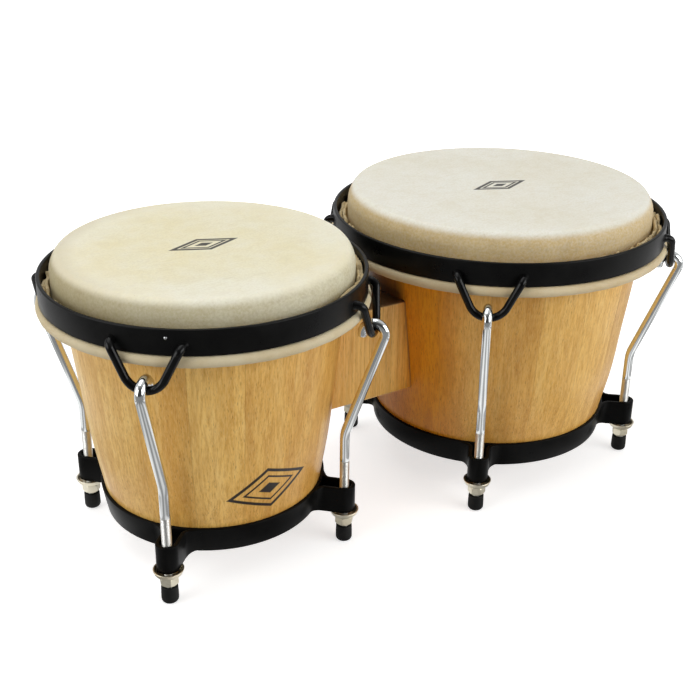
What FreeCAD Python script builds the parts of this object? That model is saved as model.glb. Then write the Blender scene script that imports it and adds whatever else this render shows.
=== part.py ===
import FreeCAD, Part
import math
import os

# A pair of bongo drums: a small and a large open-bottomed drum of tapered
# wooden staves, bolted to one wooden centre block. Each head is rawhide lapped
# round a wire flesh hoop and pulled down by a steel rim. Four hooked tension
# rods per drum catch the V loops welded to the rim, pass through ears on the
# bottom ring, and carry a dish washer, a nut and a rubber foot cap.
# Millimetres. +Z is up, +X runs from the small drum to the large one, and the
# origin is on the floor under the middle of the pair.

V = FreeCAD.Vector
Z_AXIS = V(0, 0, 1)
ORIGIN = V(0, 0, 0)

# --- dimensions that both drums share ---------------------------------------
TOUCH_GAP = 0.05              # between faces that only touch
AXIS_SPACING = 217.0          # between the two drum axes
WALL = 9.0                    # stave thickness at the ends
SHELL_BOTTOM_Z = 24.8
SHELL_HEIGHTS = (70.0, 100.0, 142.0)   # where the bulge of the wall is set
BEARING_ROUND = 8.0           # rounded outer corner under the head
RING_BOTTOM_Z = 23.5
RING_TOP_Z = 40.0
RING_THICKNESS = 2.2

SKIN = 1.2                    # rawhide thickness
SHOULDER_ROUND = 8.5          # where the head turns down over the shell
ROLL_Z = 158.45               # the skin lapped round its hoop
ROLL_RADIUS = 3.4
ROLL_INSET = 1.4              # from the rim's outside to the middle of the roll
COLLAR_FOOT_RISE = 4.5        # the collar leaves the shell this far above the roll
HOOP_WIRE_RADIUS = 2.15
TUCK_GAP = 0.6                # between the rim and the skin's cut end
TUCK_TOP_Z = 171.0
RIM_BOTTOM_Z = 161.9
RIM_TOP_Z = 176.8
RIM_THICKNESS = 2.3

LUG_ANGLES = {"front_left": -135.0, "front_right": -45.0,
              "back_right": 45.0, "back_left": 135.0}

ROD_RADIUS = 3.0
ROD_BOTTOM_Z = 3.4
ROD_BEND_Z = 75.5
ROD_BEND_RADIUS = 24.0
HOOK_RADIUS = 6.6             # centre line of the hook
HOOK_CENTRE_Z = 142.9
HOOK_TAIL = 2.0
LOOP_WIRE_RADIUS = 2.4
LOOP_HALF_WIDTH = 19.5
LOOP_FOOT_Z = 167.8
LOOP_TOP_INSET = 2.8          # the V leans, its top this much nearer to the rim
LOOP_FOOT_RUN = 4.0           # from the middle of the rim band inwards, cut off later
LOOP_CORNER_RADIUS = 4.0
LOOP_LEG_LEAN = 26.5          # degrees from upright
LOOP_CLEARANCE = 0.12

EAR_WIDTH = 13.5
EAR_WALL = 2.5
EAR_FILLET = 9.0              # where an ear's legs spread into the ring
EAR_BOTTOM_Z = 22.6
EAR_TOP_Z = 39.9
DISH_RADIUS = 9.2
DISH_FLANK_RADIUS = 7.9
DISH_BASE_RADIUS = 5.6
DISH_FLOOR_Z = 17.7
DISH_FLANK_RISE = 1.8         # from the floor to the steep part of the bowl
DISH_THICKNESS = 1.1
DISH_HOLE_RADIUS = 3.4
NUT_ACROSS_FLATS = 10.0
NUT_BOTTOM_Z = 12.5
NUT_SEAT_Z = 17.6
NUT_CHAMFER = 0.9
NUT_BORE_RADIUS = ROD_RADIUS + TOUCH_GAP
FOOT_RADIUS = 5.1
FOOT_TOP_RADIUS = 4.9
FOOT_TOP_Z = 11.1
FOOT_BORE_RADIUS = ROD_RADIUS + TOUCH_GAP
FOOT_FLAT_RADIUS = 2.4

BLOCK_WIDTH = 48.0
BLOCK_BOTTOM_Z = 72.0
BLOCK_TOP_Z = 135.5
BOLT_HEIGHTS = {"lower": 88.0, "upper": 119.0}
BOLT_RADIUS = 3.0
BOLT_HOLE_RADIUS = 3.4
BOLT_HEAD_FLATS = 10.0
BOLT_HEAD_HEIGHT = 4.0
BOLT_NUT_HEIGHT = 5.0
BOLT_END = 2.0                # thread that stands past the nut
BOLT_WASHER_RADIUS = 8.0
BOLT_WASHER_THICKNESS = 1.2
BOLT_WASHER_PLAY = 0.2
SPOT_FACE_RADIUS = 8.6
SPOT_FACE_DEPTH = 1.6


class Drum:
    """The radii and heights that differ between the two drums."""

    def __init__(self, name, side, ring_radii, shell_radii, shell_top_radius, head_z,
                 collar_radius, rim_radius, rod_radius_from_axis, loop_radius, staves,
                 lug_turn):
        self.name = name
        self.side = side                  # -1 small drum, +1 large drum
        self.ring_radii = ring_radii      # outside of the bottom ring: bottom, top
        self.shell_radii = shell_radii    # wall outside at SHELL_HEIGHTS
        self.shell_top_radius = shell_top_radius
        self.head_z = head_z              # playing surface
        self.collar_radius = collar_radius
        self.rim_radius = rim_radius      # outside of the rim band
        self.rod_at = rod_radius_from_axis
        self.loop_at = loop_radius        # plane of the V loops
        self.staves = staves
        self.lug_turn = lug_turn          # the ring and rim sit turned by this much
        self.roll_at = rim_radius - ROLL_INSET   # circle of the flesh hoop

    @property
    def shell_top_z(self):
        return self.head_z - SKIN - TOUCH_GAP

    def lug_angles(self):
        return {place: angle + self.lug_turn for place, angle in LUG_ANGLES.items()}


SMALL = Drum("small", -1, (66.7, 69.5), (72.3, 75.9, 80.6), 84.6, 188.7,
             88.0, 95.2, 84.2, 100.6, 16, 0.8)
LARGE = Drum("large", 1, (80.4, 82.5), (86.2, 89.6, 94.5), 97.8, 191.3,
             101.0, 110.5, 97.6, 115.8, 18, 4.1)
DRUMS = (SMALL, LARGE)

# The origin is midway between the two outermost lapped skins.
MIDDLE_SHIFT = (SMALL.roll_at - LARGE.roll_at) / 2


def axis_x(drum):
    return drum.side * AXIS_SPACING / 2 + MIDDLE_SHIFT


# --- small geometry helpers ---------------------------------------------------
def put(shape, drum, angle=0.0):
    """Turn a shape made about the Z axis and stand it on a drum's own axis."""
    placed = shape.copy()
    placed.rotate(ORIGIN, Z_AXIS, angle)
    placed.translate(V(axis_x(drum), 0, 0))
    return placed


def upright(r, z):
    """A point of a radial outline: distance from the axis, height."""
    return V(r, 0, z)


def chain(points):
    return [Part.LineSegment(a, b).toShape() for a, b in zip(points, points[1:])]


def arc_about(centre, radius, start, end):
    """An arc in the radial plane, its angles in degrees from +R towards +Z."""
    def at(angle):
        turn = math.radians(angle)
        return centre + upright(radius * math.cos(turn), radius * math.sin(turn))
    return Part.Arc(at(start), at((start + end) / 2), at(end)).toShape()


def turned(edges, angle=360.0):
    """Revolve a closed outline about the Z axis."""
    face = Part.Face(Part.Wire(Part.__sortEdges__(edges)))
    solid = face.revolve(ORIGIN, Z_AXIS, angle)
    return solid if solid.isValid() and solid.Volume > 0 else solid.reversed()


def tube(r_inner, r_outer, z_low, z_high):
    outer = Part.makeCylinder(r_outer, z_high - z_low, V(0, 0, z_low))
    return outer.cut(Part.makeCylinder(r_inner, z_high - z_low, V(0, 0, z_low)))


def hexagon(across_flats, height, base, direction):
    """A hexagonal prism from a base point along a direction."""
    corner = across_flats / math.sqrt(3)
    side = V(0, 1, 0) if abs(direction.y) < 0.9 else V(1, 0, 0)
    spin = FreeCAD.Rotation(direction, 60)
    ring = [base + side * corner]
    arm = side * corner
    for _ in range(6):
        arm = spin.multVec(arm)
        ring.append(base + arm)
    ring[-1] = ring[0]
    return Part.Face(Part.makePolygon(ring)).extrude(direction * height)


def swept_rod(edges, radius):
    """A round bar along a smooth path of lines and arcs."""
    path = Part.Wire(edges)
    start = edges[0].valueAt(edges[0].FirstParameter)
    along = edges[0].tangentAt(edges[0].FirstParameter)
    section = Part.Wire([Part.makeCircle(radius, start, along)])
    bar = path.makePipeShell([section], True, True)
    return bar


def rounded_path(points, radii):
    """Straight runs through the points, with a tangent arc at each corner."""
    edges = []
    last = points[0]
    for before, corner, after, radius in zip(points, points[1:], points[2:], radii):
        back = (before - corner).normalize()
        on = (after - corner).normalize()
        half = back.getAngle(on) / 2
        reach = radius / math.tan(half)
        start = corner + back * reach
        end = corner + on * reach
        middle_line = (back + on).normalize()
        middle = corner + middle_line * (radius / math.sin(half) - radius)
        edges.append(Part.LineSegment(last, start).toShape())
        edges.append(Part.Arc(start, middle, end).toShape())
        last = end
    edges.append(Part.LineSegment(last, points[-1]).toShape())
    return edges


# --- wooden shells --------------------------------------------------------------
def seat_radius(drum, z):
    """The shell's outside inside the tapered bottom ring."""
    low, high = drum.ring_radii
    share = (z - RING_BOTTOM_Z) / (RING_TOP_Z - RING_BOTTOM_Z)
    return low + (high - low) * share - RING_THICKNESS - TOUCH_GAP


def outer_wall_edges(drum, grow=0.0):
    """The outside of the shell: a straight seat in the ring, then the bulge."""
    bottom = upright(seat_radius(drum, SHELL_BOTTOM_Z) + grow, SHELL_BOTTOM_Z)
    seat_end = upright(seat_radius(drum, RING_TOP_Z) + grow, RING_TOP_Z)
    round_z = drum.shell_top_z - BEARING_ROUND
    top = upright(drum.shell_top_radius + grow, round_z)
    knots = [seat_end]
    knots += [upright(r + grow, z) for r, z in zip(drum.shell_radii, SHELL_HEIGHTS)]
    knots.append(top)
    curve = Part.BSplineCurve()
    curve.interpolate(knots)
    return [Part.LineSegment(bottom, seat_end).toShape(), curve.toShape()], bottom, top


def inner_wall_radius(drum, z):
    """The straight-sided inside of the shell, WALL in from its ends."""
    low = seat_radius(drum, SHELL_BOTTOM_Z) - WALL
    high = drum.shell_top_radius - WALL
    return low + (high - low) * (z - SHELL_BOTTOM_Z) / (drum.shell_top_z - SHELL_BOTTOM_Z)


def shell_outline(drum):
    outer, bottom, top = outer_wall_edges(drum)
    top_z = drum.shell_top_z
    round_centre = upright(top.x - BEARING_ROUND, top_z - BEARING_ROUND)
    crown = upright(round_centre.x, top_z)
    inner_top = upright(inner_wall_radius(drum, top_z), top_z)
    inner_bottom = upright(inner_wall_radius(drum, SHELL_BOTTOM_Z), SHELL_BOTTOM_Z)
    edges = outer + [arc_about(round_centre, BEARING_ROUND, 0, 90)]
    return edges + chain([crown, inner_top, inner_bottom, bottom])


def shell_envelope(drum, gap):
    """The solid that the shell's outside would fill, grown by a gap."""
    outer, bottom, top = outer_wall_edges(drum, gap)
    edges = outer + chain([top, upright(0, top.z), upright(0, bottom.z), bottom])
    return turned(edges)


def bolt_bore(drum, height, radius, reach):
    """A bore along X at a height, from a drum's axis towards the other drum."""
    towards_middle = V(-drum.side, 0, 0)
    return Part.makeCylinder(radius, reach, V(axis_x(drum), 0, height), towards_middle)


def spot_face_reach(drum, height):
    return inner_wall_radius(drum, height) + SPOT_FACE_DEPTH


def shell(drum):
    """Coopered staves, one of them drilled for the two block bolts."""
    step = 360.0 / drum.staves
    stave = turned(shell_outline(drum), step)
    stave.rotate(ORIGIN, Z_AXIS, -step / 2)
    staves = [put(stave, drum, step * index) for index in range(drum.staves)]
    drilled = 0 if drum is SMALL else drum.staves // 2
    for height in BOLT_HEIGHTS.values():
        hole = bolt_bore(drum, height, BOLT_HOLE_RADIUS, AXIS_SPACING / 2)
        seat = bolt_bore(drum, height, SPOT_FACE_RADIUS, spot_face_reach(drum, height))
        staves[drilled] = staves[drilled].cut(hole).cut(seat)
    staves[drilled] = staves[drilled].Solids[0]
    return Part.makeCompound(staves)


# --- bottom ring with its ears ------------------------------------------------
def ring_outline(drum):
    low, high = drum.ring_radii
    return chain([upright(low - RING_THICKNESS, RING_BOTTOM_Z),
                  upright(low, RING_BOTTOM_Z),
                  upright(high, RING_TOP_Z),
                  upright(high - RING_THICKNESS, RING_TOP_Z),
                  upright(low - RING_THICKNESS, RING_BOTTOM_Z)])


def ring_core(drum):
    """A cone through the middle of the band, taller than the ears."""
    low, high = drum.ring_radii
    slope = (high - low) / (RING_TOP_Z - RING_BOTTOM_Z)
    over = RING_TOP_Z - RING_BOTTOM_Z
    return Part.makeCone(low - RING_THICKNESS / 2 - slope * over,
                         high - RING_THICKNESS / 2 + slope * over,
                         3 * over, V(0, 0, RING_BOTTOM_Z - over))


def ear_fillet(drum, side, height):
    """The hollow curve by which one leg of an ear spreads into the ring."""
    ring = drum.ring_radii[0] - TOUCH_GAP
    leg = side * EAR_WIDTH / 2
    inside_leg = leg - side * EAR_WALL / 4
    reach = ring + EAR_FILLET
    centre = V(math.sqrt(reach ** 2 - (EAR_WIDTH / 2 + EAR_FILLET) ** 2),
               leg + side * EAR_FILLET, 0)
    on_leg = V(centre.x, leg, 0)
    on_ring = centre * (ring / reach)
    to_middle = ((on_leg - centre) + (on_ring - centre)).normalize()
    middle = centre + to_middle * EAR_FILLET
    in_ring = on_ring * (1 - 2 * RING_THICKNESS / ring)
    in_leg = V(in_ring.x, inside_leg, 0)
    edges = [Part.Arc(on_leg, middle, on_ring).toShape()]
    edges += chain([on_ring, in_ring, in_leg, V(on_leg.x, inside_leg, 0), on_leg])
    face = Part.Face(Part.Wire(Part.__sortEdges__(edges)))
    face.translate(V(0, 0, EAR_BOTTOM_Z))
    return face.extrude(V(0, 0, height))


def ear(drum):
    """A strip bent round the rod into a U, its legs ending in the ring."""
    height = EAR_TOP_Z - EAR_BOTTOM_Z
    start = drum.ring_radii[0] - 4 * RING_THICKNESS
    length = drum.rod_at - start

    def stadium(half_width):
        leg = Part.makeBox(length, 2 * half_width, height, V(start, -half_width, EAR_BOTTOM_Z))
        nose = Part.makeCylinder(half_width, height, V(drum.rod_at, 0, EAR_BOTTOM_Z))
        return leg.fuse(nose)

    strip = stadium(EAR_WIDTH / 2).cut(stadium(EAR_WIDTH / 2 - EAR_WALL))
    for side in (-1, 1):
        strip = strip.fuse(ear_fillet(drum, side, height))
    return strip.cut(ring_core(drum))


def bottom_ring(drum):
    one_ear = ear(drum)
    ring = turned(ring_outline(drum))
    for angle in drum.lug_angles().values():
        turned_ear = one_ear.copy()
        turned_ear.rotate(ORIGIN, Z_AXIS, angle)
        ring = ring.fuse(turned_ear)
    return put(ring.removeSplitter(), drum)


# --- head, flesh hoop and rim ---------------------------------------------------
def skin_head(drum):
    """The flat playing surface, out to where the skin turns down."""
    radius = drum.collar_radius - SHOULDER_ROUND
    return put(Part.makeCylinder(radius, SKIN, V(0, 0, drum.head_z - SKIN)), drum)


def skin_collar(drum):
    """The turned-down skin, lapped round the hoop, its cut end inside the rim."""
    r = drum.collar_radius
    z = drum.head_z
    shoulder = upright(r - SHOULDER_ROUND, z - SHOULDER_ROUND)
    roll = upright(drum.roll_at, ROLL_Z)
    lap_middle = (ROLL_RADIUS + HOOP_WIRE_RADIUS) / 2
    foot_z = ROLL_Z + COLLAR_FOOT_RISE

    def in_lap(angle):
        turn = math.radians(angle)
        return roll + upright(lap_middle * math.cos(turn), lap_middle * math.sin(turn))

    edges = [arc_about(shoulder, SHOULDER_ROUND, 90, 0)]
    edges += chain([upright(r, shoulder.z), upright(r, foot_z), in_lap(160),
                    in_lap(195), upright(r - SKIN, foot_z - SKIN),
                    upright(r - SKIN, shoulder.z)])
    edges.append(arc_about(shoulder, SHOULDER_ROUND - SKIN, 0, 90))
    edges += chain([upright(shoulder.x, z - SKIN), upright(shoulder.x, z)])
    collar = turned(edges)
    lap = Part.makeTorus(roll.x, ROLL_RADIUS, V(0, 0, ROLL_Z))
    tuck_radius = drum.rim_radius - RIM_THICKNESS - TUCK_GAP
    tuck = tube(tuck_radius - SKIN, tuck_radius, ROLL_Z + SKIN, TUCK_TOP_Z)
    hollow = Part.makeTorus(roll.x, HOOP_WIRE_RADIUS + TOUCH_GAP, V(0, 0, ROLL_Z))
    return put(collar.fuse(lap).fuse(tuck).cut(hollow).removeSplitter(), drum)


def flesh_hoop(drum):
    return put(Part.makeTorus(drum.roll_at, HOOP_WIRE_RADIUS, V(0, 0, ROLL_Z)), drum)


def rim(drum):
    inner = drum.rim_radius - RIM_THICKNESS
    return put(tube(inner, drum.rim_radius, RIM_BOTTOM_Z, RIM_TOP_Z), drum)


def loop_bottom_z():
    """The V's lowest centre line, hanging under the inside of the hook."""
    return HOOK_CENTRE_Z + HOOK_RADIUS - ROD_RADIUS - LOOP_WIRE_RADIUS - LOOP_CLEARANCE


def rim_loop(drum):
    """A V of round bar, its two feet bent inwards and welded to the rim."""
    drop = LOOP_HALF_WIDTH / math.tan(math.radians(LOOP_LEG_LEAN))
    slope = LOOP_TOP_INSET / (LOOP_FOOT_Z - loop_bottom_z())
    stretch = math.hypot(1, slope)
    half_tip = math.atan2(LOOP_HALF_WIDTH, drop * stretch)
    tip = V(drum.loop_at + slope * (drop - LOOP_FOOT_Z + loop_bottom_z()), 0,
            LOOP_FOOT_Z - drop)
    tip_radius = (loop_bottom_z() - tip.z) * stretch / (1 / math.sin(half_tip) - 1)
    foot_r = drum.rim_radius - RIM_THICKNESS / 2 - LOOP_FOOT_RUN
    top_r = drum.loop_at - LOOP_TOP_INSET
    points = [V(foot_r, -LOOP_HALF_WIDTH, LOOP_FOOT_Z),
              V(top_r, -LOOP_HALF_WIDTH, LOOP_FOOT_Z),
              tip,
              V(top_r, LOOP_HALF_WIDTH, LOOP_FOOT_Z),
              V(foot_r, LOOP_HALF_WIDTH, LOOP_FOOT_Z)]
    radii = (LOOP_CORNER_RADIUS, tip_radius, LOOP_CORNER_RADIUS)
    bar = swept_rod(rounded_path(points, radii), LOOP_WIRE_RADIUS)
    band_core = Part.makeCylinder(drum.rim_radius, RIM_TOP_Z)
    return bar.cut(band_core)


def rim_loops(drum):
    loop = rim_loop(drum)
    loops = [put(loop, drum, angle) for angle in drum.lug_angles().values()]
    return Part.makeCompound([one.Solids[0] for one in loops])


# --- tension rods and what they carry -------------------------------------------
def tension_rod(drum):
    """An upright shank, a lean outwards to clear the shell, and a hook."""
    foot = upright(drum.rod_at, ROD_BOTTOM_Z)
    bend = upright(drum.rod_at, ROD_BEND_Z)
    hook = upright(drum.loop_at, HOOK_CENTRE_Z)
    to_hook = hook - bend
    lean = math.atan2(to_hook.x, to_hook.z) + math.asin(HOOK_RADIUS / to_hook.Length)
    out = V(math.cos(lean), 0, -math.sin(lean))
    hook_start = hook + out * HOOK_RADIUS
    edges = rounded_path([foot, bend, hook_start], (ROD_BEND_RADIUS,))
    edges.append(arc_about(hook, HOOK_RADIUS, -math.degrees(lean), 180))
    tip = upright(hook.x - HOOK_RADIUS, hook.z)
    edges += chain([tip, tip - upright(0, HOOK_TAIL)])
    return swept_rod(edges, ROD_RADIUS)


def dish_washer(drum):
    """A bowl-shaped washer that the ear's edge rests on."""
    rim_z = EAR_BOTTOM_Z - TOUCH_GAP
    flank_z = DISH_FLOOR_Z + DISH_FLANK_RISE
    inside_z = DISH_FLOOR_Z + DISH_THICKNESS
    outline = chain([upright(DISH_HOLE_RADIUS, DISH_FLOOR_Z),
                     upright(DISH_BASE_RADIUS, DISH_FLOOR_Z),
                     upright(DISH_FLANK_RADIUS, flank_z),
                     upright(DISH_RADIUS, rim_z),
                     upright(DISH_RADIUS - DISH_THICKNESS, rim_z),
                     upright(DISH_FLANK_RADIUS - DISH_THICKNESS, flank_z + DISH_THICKNESS / 2),
                     upright(DISH_BASE_RADIUS - DISH_THICKNESS / 2, inside_z),
                     upright(DISH_HOLE_RADIUS, inside_z),
                     upright(DISH_HOLE_RADIUS, DISH_FLOOR_Z)])
    washer = turned(outline)
    washer.translate(V(drum.rod_at, 0, 0))
    return washer


def tuning_nut(drum):
    base = V(drum.rod_at, 0, NUT_BOTTOM_Z)
    height = NUT_SEAT_Z - NUT_BOTTOM_Z
    prism = hexagon(NUT_ACROSS_FLATS, height, base, Z_AXIS)
    low_radius = NUT_ACROSS_FLATS / math.sqrt(3) - NUT_CHAMFER
    chamfer = Part.makeCone(low_radius, low_radius + height, height, base)
    bore = Part.makeCylinder(NUT_BORE_RADIUS, height, base)
    return prism.common(chamfer).cut(bore)


def rubber_foot(drum):
    """A cap over the rod's end, rounded below with a small flat to stand on."""
    round_radius = FOOT_RADIUS - FOOT_FLAT_RADIUS
    centre = upright(FOOT_FLAT_RADIUS, round_radius)
    edges = chain([upright(0, ROD_BOTTOM_Z - TOUCH_GAP), upright(0, 0),
                   upright(FOOT_FLAT_RADIUS, 0)])
    edges.append(arc_about(centre, round_radius, -90, 0))
    edges += chain([upright(FOOT_RADIUS, round_radius),
                    upright(FOOT_TOP_RADIUS, FOOT_TOP_Z),
                    upright(FOOT_BORE_RADIUS, FOOT_TOP_Z),
                    upright(FOOT_BORE_RADIUS, ROD_BOTTOM_Z - TOUCH_GAP),
                    upright(0, ROD_BOTTOM_Z - TOUCH_GAP)])
    cap = turned(edges)
    cap.translate(V(drum.rod_at, 0, 0))
    return cap


# --- centre block and its bolts -------------------------------------------------
def bolt_seat_x(drum, height):
    return axis_x(drum) - drum.side * spot_face_reach(drum, height)


def centre_block():
    """A wooden block, its ends hollowed to the two shells."""
    length = AXIS_SPACING
    block = Part.makeBox(length, BLOCK_WIDTH, BLOCK_TOP_Z - BLOCK_BOTTOM_Z,
                         V(axis_x(SMALL), -BLOCK_WIDTH / 2, BLOCK_BOTTOM_Z))
    for drum in DRUMS:
        block = block.cut(put(shell_envelope(drum, TOUCH_GAP), drum))
    for height in BOLT_HEIGHTS.values():
        block = block.cut(bolt_bore(SMALL, height, BOLT_HOLE_RADIUS, AXIS_SPACING))
    return block.Solids[0]


def block_bolt(height):
    """A hexagon bolt from inside the large drum to inside the small one."""
    head_x = bolt_seat_x(LARGE, height) + BOLT_WASHER_THICKNESS
    nut_x = bolt_seat_x(SMALL, height) - BOLT_WASHER_THICKNESS
    end_x = nut_x - BOLT_NUT_HEIGHT - BOLT_END
    shank = Part.makeCylinder(BOLT_RADIUS, head_x - end_x, V(end_x, 0, height), V(1, 0, 0))
    head = hexagon(BOLT_HEAD_FLATS, BOLT_HEAD_HEIGHT, V(head_x, 0, height), V(1, 0, 0))
    return shank.fuse(head)


def block_washers():
    rings = []
    for height in BOLT_HEIGHTS.values():
        for drum in DRUMS:
            away = V(drum.side, 0, 0)
            base = V(bolt_seat_x(drum, height), 0, height)
            disc = Part.makeCylinder(BOLT_WASHER_RADIUS, BOLT_WASHER_THICKNESS, base, away)
            hole = Part.makeCylinder(BOLT_RADIUS + BOLT_WASHER_PLAY, BOLT_WASHER_THICKNESS,
                                     base, away)
            rings.append(disc.cut(hole))
    return Part.makeCompound(rings)


def block_nuts():
    nuts = []
    for height in BOLT_HEIGHTS.values():
        base = V(bolt_seat_x(SMALL, height) - BOLT_WASHER_THICKNESS, 0, height)
        prism = hexagon(BOLT_HEAD_FLATS, BOLT_NUT_HEIGHT, base, V(-1, 0, 0))
        bore = Part.makeCylinder(BOLT_RADIUS + TOUCH_GAP, BOLT_NUT_HEIGHT, base, V(-1, 0, 0))
        nuts.append(prism.cut(bore))
    return Part.makeCompound(nuts)


# --- the whole pair ---------------------------------------------------------------
def drum_parts(drum):
    parts = {"shell": shell(drum), "bottom_ring": bottom_ring(drum),
             "skin_head": skin_head(drum), "skin_collar": skin_collar(drum),
             "flesh_hoop": flesh_hoop(drum), "rim": rim(drum), "rim_loops": rim_loops(drum)}
    lug_pieces = {"rod": tension_rod(drum), "washer": dish_washer(drum),
                  "nut": tuning_nut(drum), "foot": rubber_foot(drum)}
    for place, angle in drum.lug_angles().items():
        for piece, shape in lug_pieces.items():
            parts[piece + "_" + place] = put(shape, drum, angle)
    return {drum.name + "_" + name: shape for name, shape in parts.items()}


def assembly():
    parts = {"centre_block": centre_block(), "block_washers": block_washers(),
             "block_nuts": block_nuts()}
    for place, height in BOLT_HEIGHTS.items():
        parts["block_bolt_" + place] = block_bolt(height)
    for drum in DRUMS:
        parts.update(drum_parts(drum))
    return parts


os.makedirs("parts", exist_ok=True)
for node, shape in assembly().items():
    shape.exportStep("parts/" + node + ".step")
    box = shape.BoundBox
    print(node, len(shape.Solids), shape.isValid(), round(shape.Volume, 1),
          [round(v, 1) for v in (box.XMin, box.XMax, box.YMin, box.YMax, box.ZMin, box.ZMax)])
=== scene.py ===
import math
import random

import bmesh
import bpy
from mathutils import Matrix, Vector, noise


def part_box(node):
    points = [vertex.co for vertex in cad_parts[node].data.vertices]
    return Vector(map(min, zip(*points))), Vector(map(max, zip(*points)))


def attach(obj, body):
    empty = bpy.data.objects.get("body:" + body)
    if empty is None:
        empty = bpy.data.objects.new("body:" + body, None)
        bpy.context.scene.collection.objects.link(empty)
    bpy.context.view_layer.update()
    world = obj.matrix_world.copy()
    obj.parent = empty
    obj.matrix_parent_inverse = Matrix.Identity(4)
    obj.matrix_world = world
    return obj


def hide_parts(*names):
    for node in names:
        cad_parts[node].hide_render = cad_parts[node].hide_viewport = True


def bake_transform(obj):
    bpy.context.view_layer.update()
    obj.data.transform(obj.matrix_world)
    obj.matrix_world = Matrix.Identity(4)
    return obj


# A pair of bongo drums. Lengths in this file are in metres; MM turns the
# millimetre sizes of the CAD source into metres.
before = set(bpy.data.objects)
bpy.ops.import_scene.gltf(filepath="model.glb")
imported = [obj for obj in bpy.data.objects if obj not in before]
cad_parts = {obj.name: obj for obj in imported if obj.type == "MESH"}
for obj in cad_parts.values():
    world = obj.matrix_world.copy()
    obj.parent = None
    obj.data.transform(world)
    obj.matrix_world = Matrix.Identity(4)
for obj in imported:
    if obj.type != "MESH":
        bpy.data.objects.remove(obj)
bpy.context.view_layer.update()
MM = 0.001
TAU = 2 * math.pi
PLACES = ("front_left", "front_right", "back_right", "back_left")

# --- sizes that both drums share, as in the CAD source -----------------------
WALL = 9.0 * MM
SHELL_BOTTOM_Z = 24.8 * MM
SHELL_HEIGHTS = (70.0 * MM, 100.0 * MM, 142.0 * MM)
BEARING_ROUND = 8.0 * MM
RING_BOTTOM_Z = 23.5 * MM
RING_THICKNESS = 2.2 * MM
SKIN = 1.2 * MM
SHOULDER_TIGHT = 4.5 * MM
SHOULDER_WIDE = 15.0 * MM
ROLL_RADIUS = 3.4 * MM
RIM_THICKNESS = 2.3 * MM
ROD_RADIUS = 3.0 * MM
ROD_BEND_Z = 75.5 * MM
ROD_BEND_RADIUS = 24.0 * MM
HOOK_RADIUS = 6.6 * MM
HOOK_CENTRE_Z = 142.9 * MM
HOOK_TAIL = 2.0 * MM
LOOP_WIRE_RADIUS = 2.4 * MM
LOOP_HALF_WIDTH = 19.5 * MM
LOOP_FOOT_Z = 167.8 * MM
LOOP_TOP_INSET = 2.8 * MM
LOOP_CORNER_RADIUS = 4.0 * MM
LOOP_LEG_LEAN = math.radians(26.5)
LOOP_CLEARANCE = 0.12 * MM
EAR_WIDTH = 13.5 * MM
EAR_WALL = 2.5 * MM
EAR_FILLET = 9.0 * MM
THREAD_PITCH = 1.0 * MM
THREAD_DEPTH = 0.5 * MM
THREAD_TOP_Z = 57.0 * MM
SPOT_FACE_RADIUS = 8.6 * MM
FLAP_WORN_ANGLE = math.radians(145)
NIB_ANGLE = math.radians(-127.8)
NIB_Z = 172.0 * MM
MERGE_DISTANCE = 1e-6


class Drum:
    """Where a drum's pieces are, read from the CAD nodes' boxes."""

    def __init__(self, name, side, ring_low_radius, shell_radii, shell_top_radius,
                 collar_radius, loop_radius, staves, seed):
        self.name = name
        self.side = side
        self.shell_radii = shell_radii
        self.shell_top_radius = shell_top_radius
        self.collar_radius = collar_radius
        self.loop_at = loop_radius
        self.staves = staves
        self.seed = seed
        self.rim_set = name + "_rim_set"
        low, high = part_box(name + "_rim")
        self.x = (low.x + high.x) / 2
        self.rim_radius = (high.x - low.x) / 2
        self.rim_low, self.rim_high = low.z, high.z
        self.head_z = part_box(name + "_skin_head")[1].z
        low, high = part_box(name + "_flesh_hoop")
        self.roll_z = (low.z + high.z) / 2
        self.roll_at = self.rim_radius - 1.4 * MM
        low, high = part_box(name + "_bottom_ring")
        self.ring_radii = (ring_low_radius, (high.x - low.x) / 2)
        self.ring_top_z = high.z
        self.ear_bottom_z = low.z
        self.lugs = {}
        for place in PLACES:
            low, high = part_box(name + "_foot_" + place)
            dx, dy = (low.x + high.x) / 2 - self.x, (low.y + high.y) / 2
            self.lugs[place] = math.atan2(dy, dx)
            self.rod_at = math.hypot(dx, dy)

    @property
    def shell_top_z(self):
        return self.head_z - SKIN - 0.05 * MM

    def turn(self, angle):
        """From the drum's radial plane (x outwards, z up) to the row frame."""
        return Matrix.Translation((self.x, 0, 0)) @ Matrix.Rotation(angle, 4, "Z")


SMALL = Drum("small", -1, 66.7 * MM, (72.3 * MM, 75.9 * MM, 80.6 * MM), 84.6 * MM,
             88.0 * MM, 100.6 * MM, 16, 11)
LARGE = Drum("large", 1, 80.4 * MM, (86.2 * MM, 89.6 * MM, 94.5 * MM), 97.8 * MM,
             101.0 * MM, 115.8 * MM, 18, 47)
DRUMS = (SMALL, LARGE)


# --- mesh helpers --------------------------------------------------------------
def make_object(name, verts, faces, material, smooth_angle=35):
    """A linked object from points and faces, cleaned up and shaded."""
    mesh = bpy.data.meshes.new(name)
    mesh.from_pydata([tuple(v) for v in verts], [], faces)
    mesh.validate()
    obj = bpy.data.objects.new(name, mesh)
    bpy.context.scene.collection.objects.link(obj)
    tidy_mesh(obj, smooth_angle)
    if material:
        mesh.materials.append(material)
    return obj


def grid_faces(columns, rows, closed_columns=True, closed_rows=True):
    """Quads over points stored column by column."""
    faces = []
    for j in range(columns if closed_columns else columns - 1):
        k = (j + 1) % columns
        for i in range(rows if closed_rows else rows - 1):
            m = (i + 1) % rows
            faces.append((j * rows + i, k * rows + i, k * rows + m, j * rows + m))
    return faces


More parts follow.
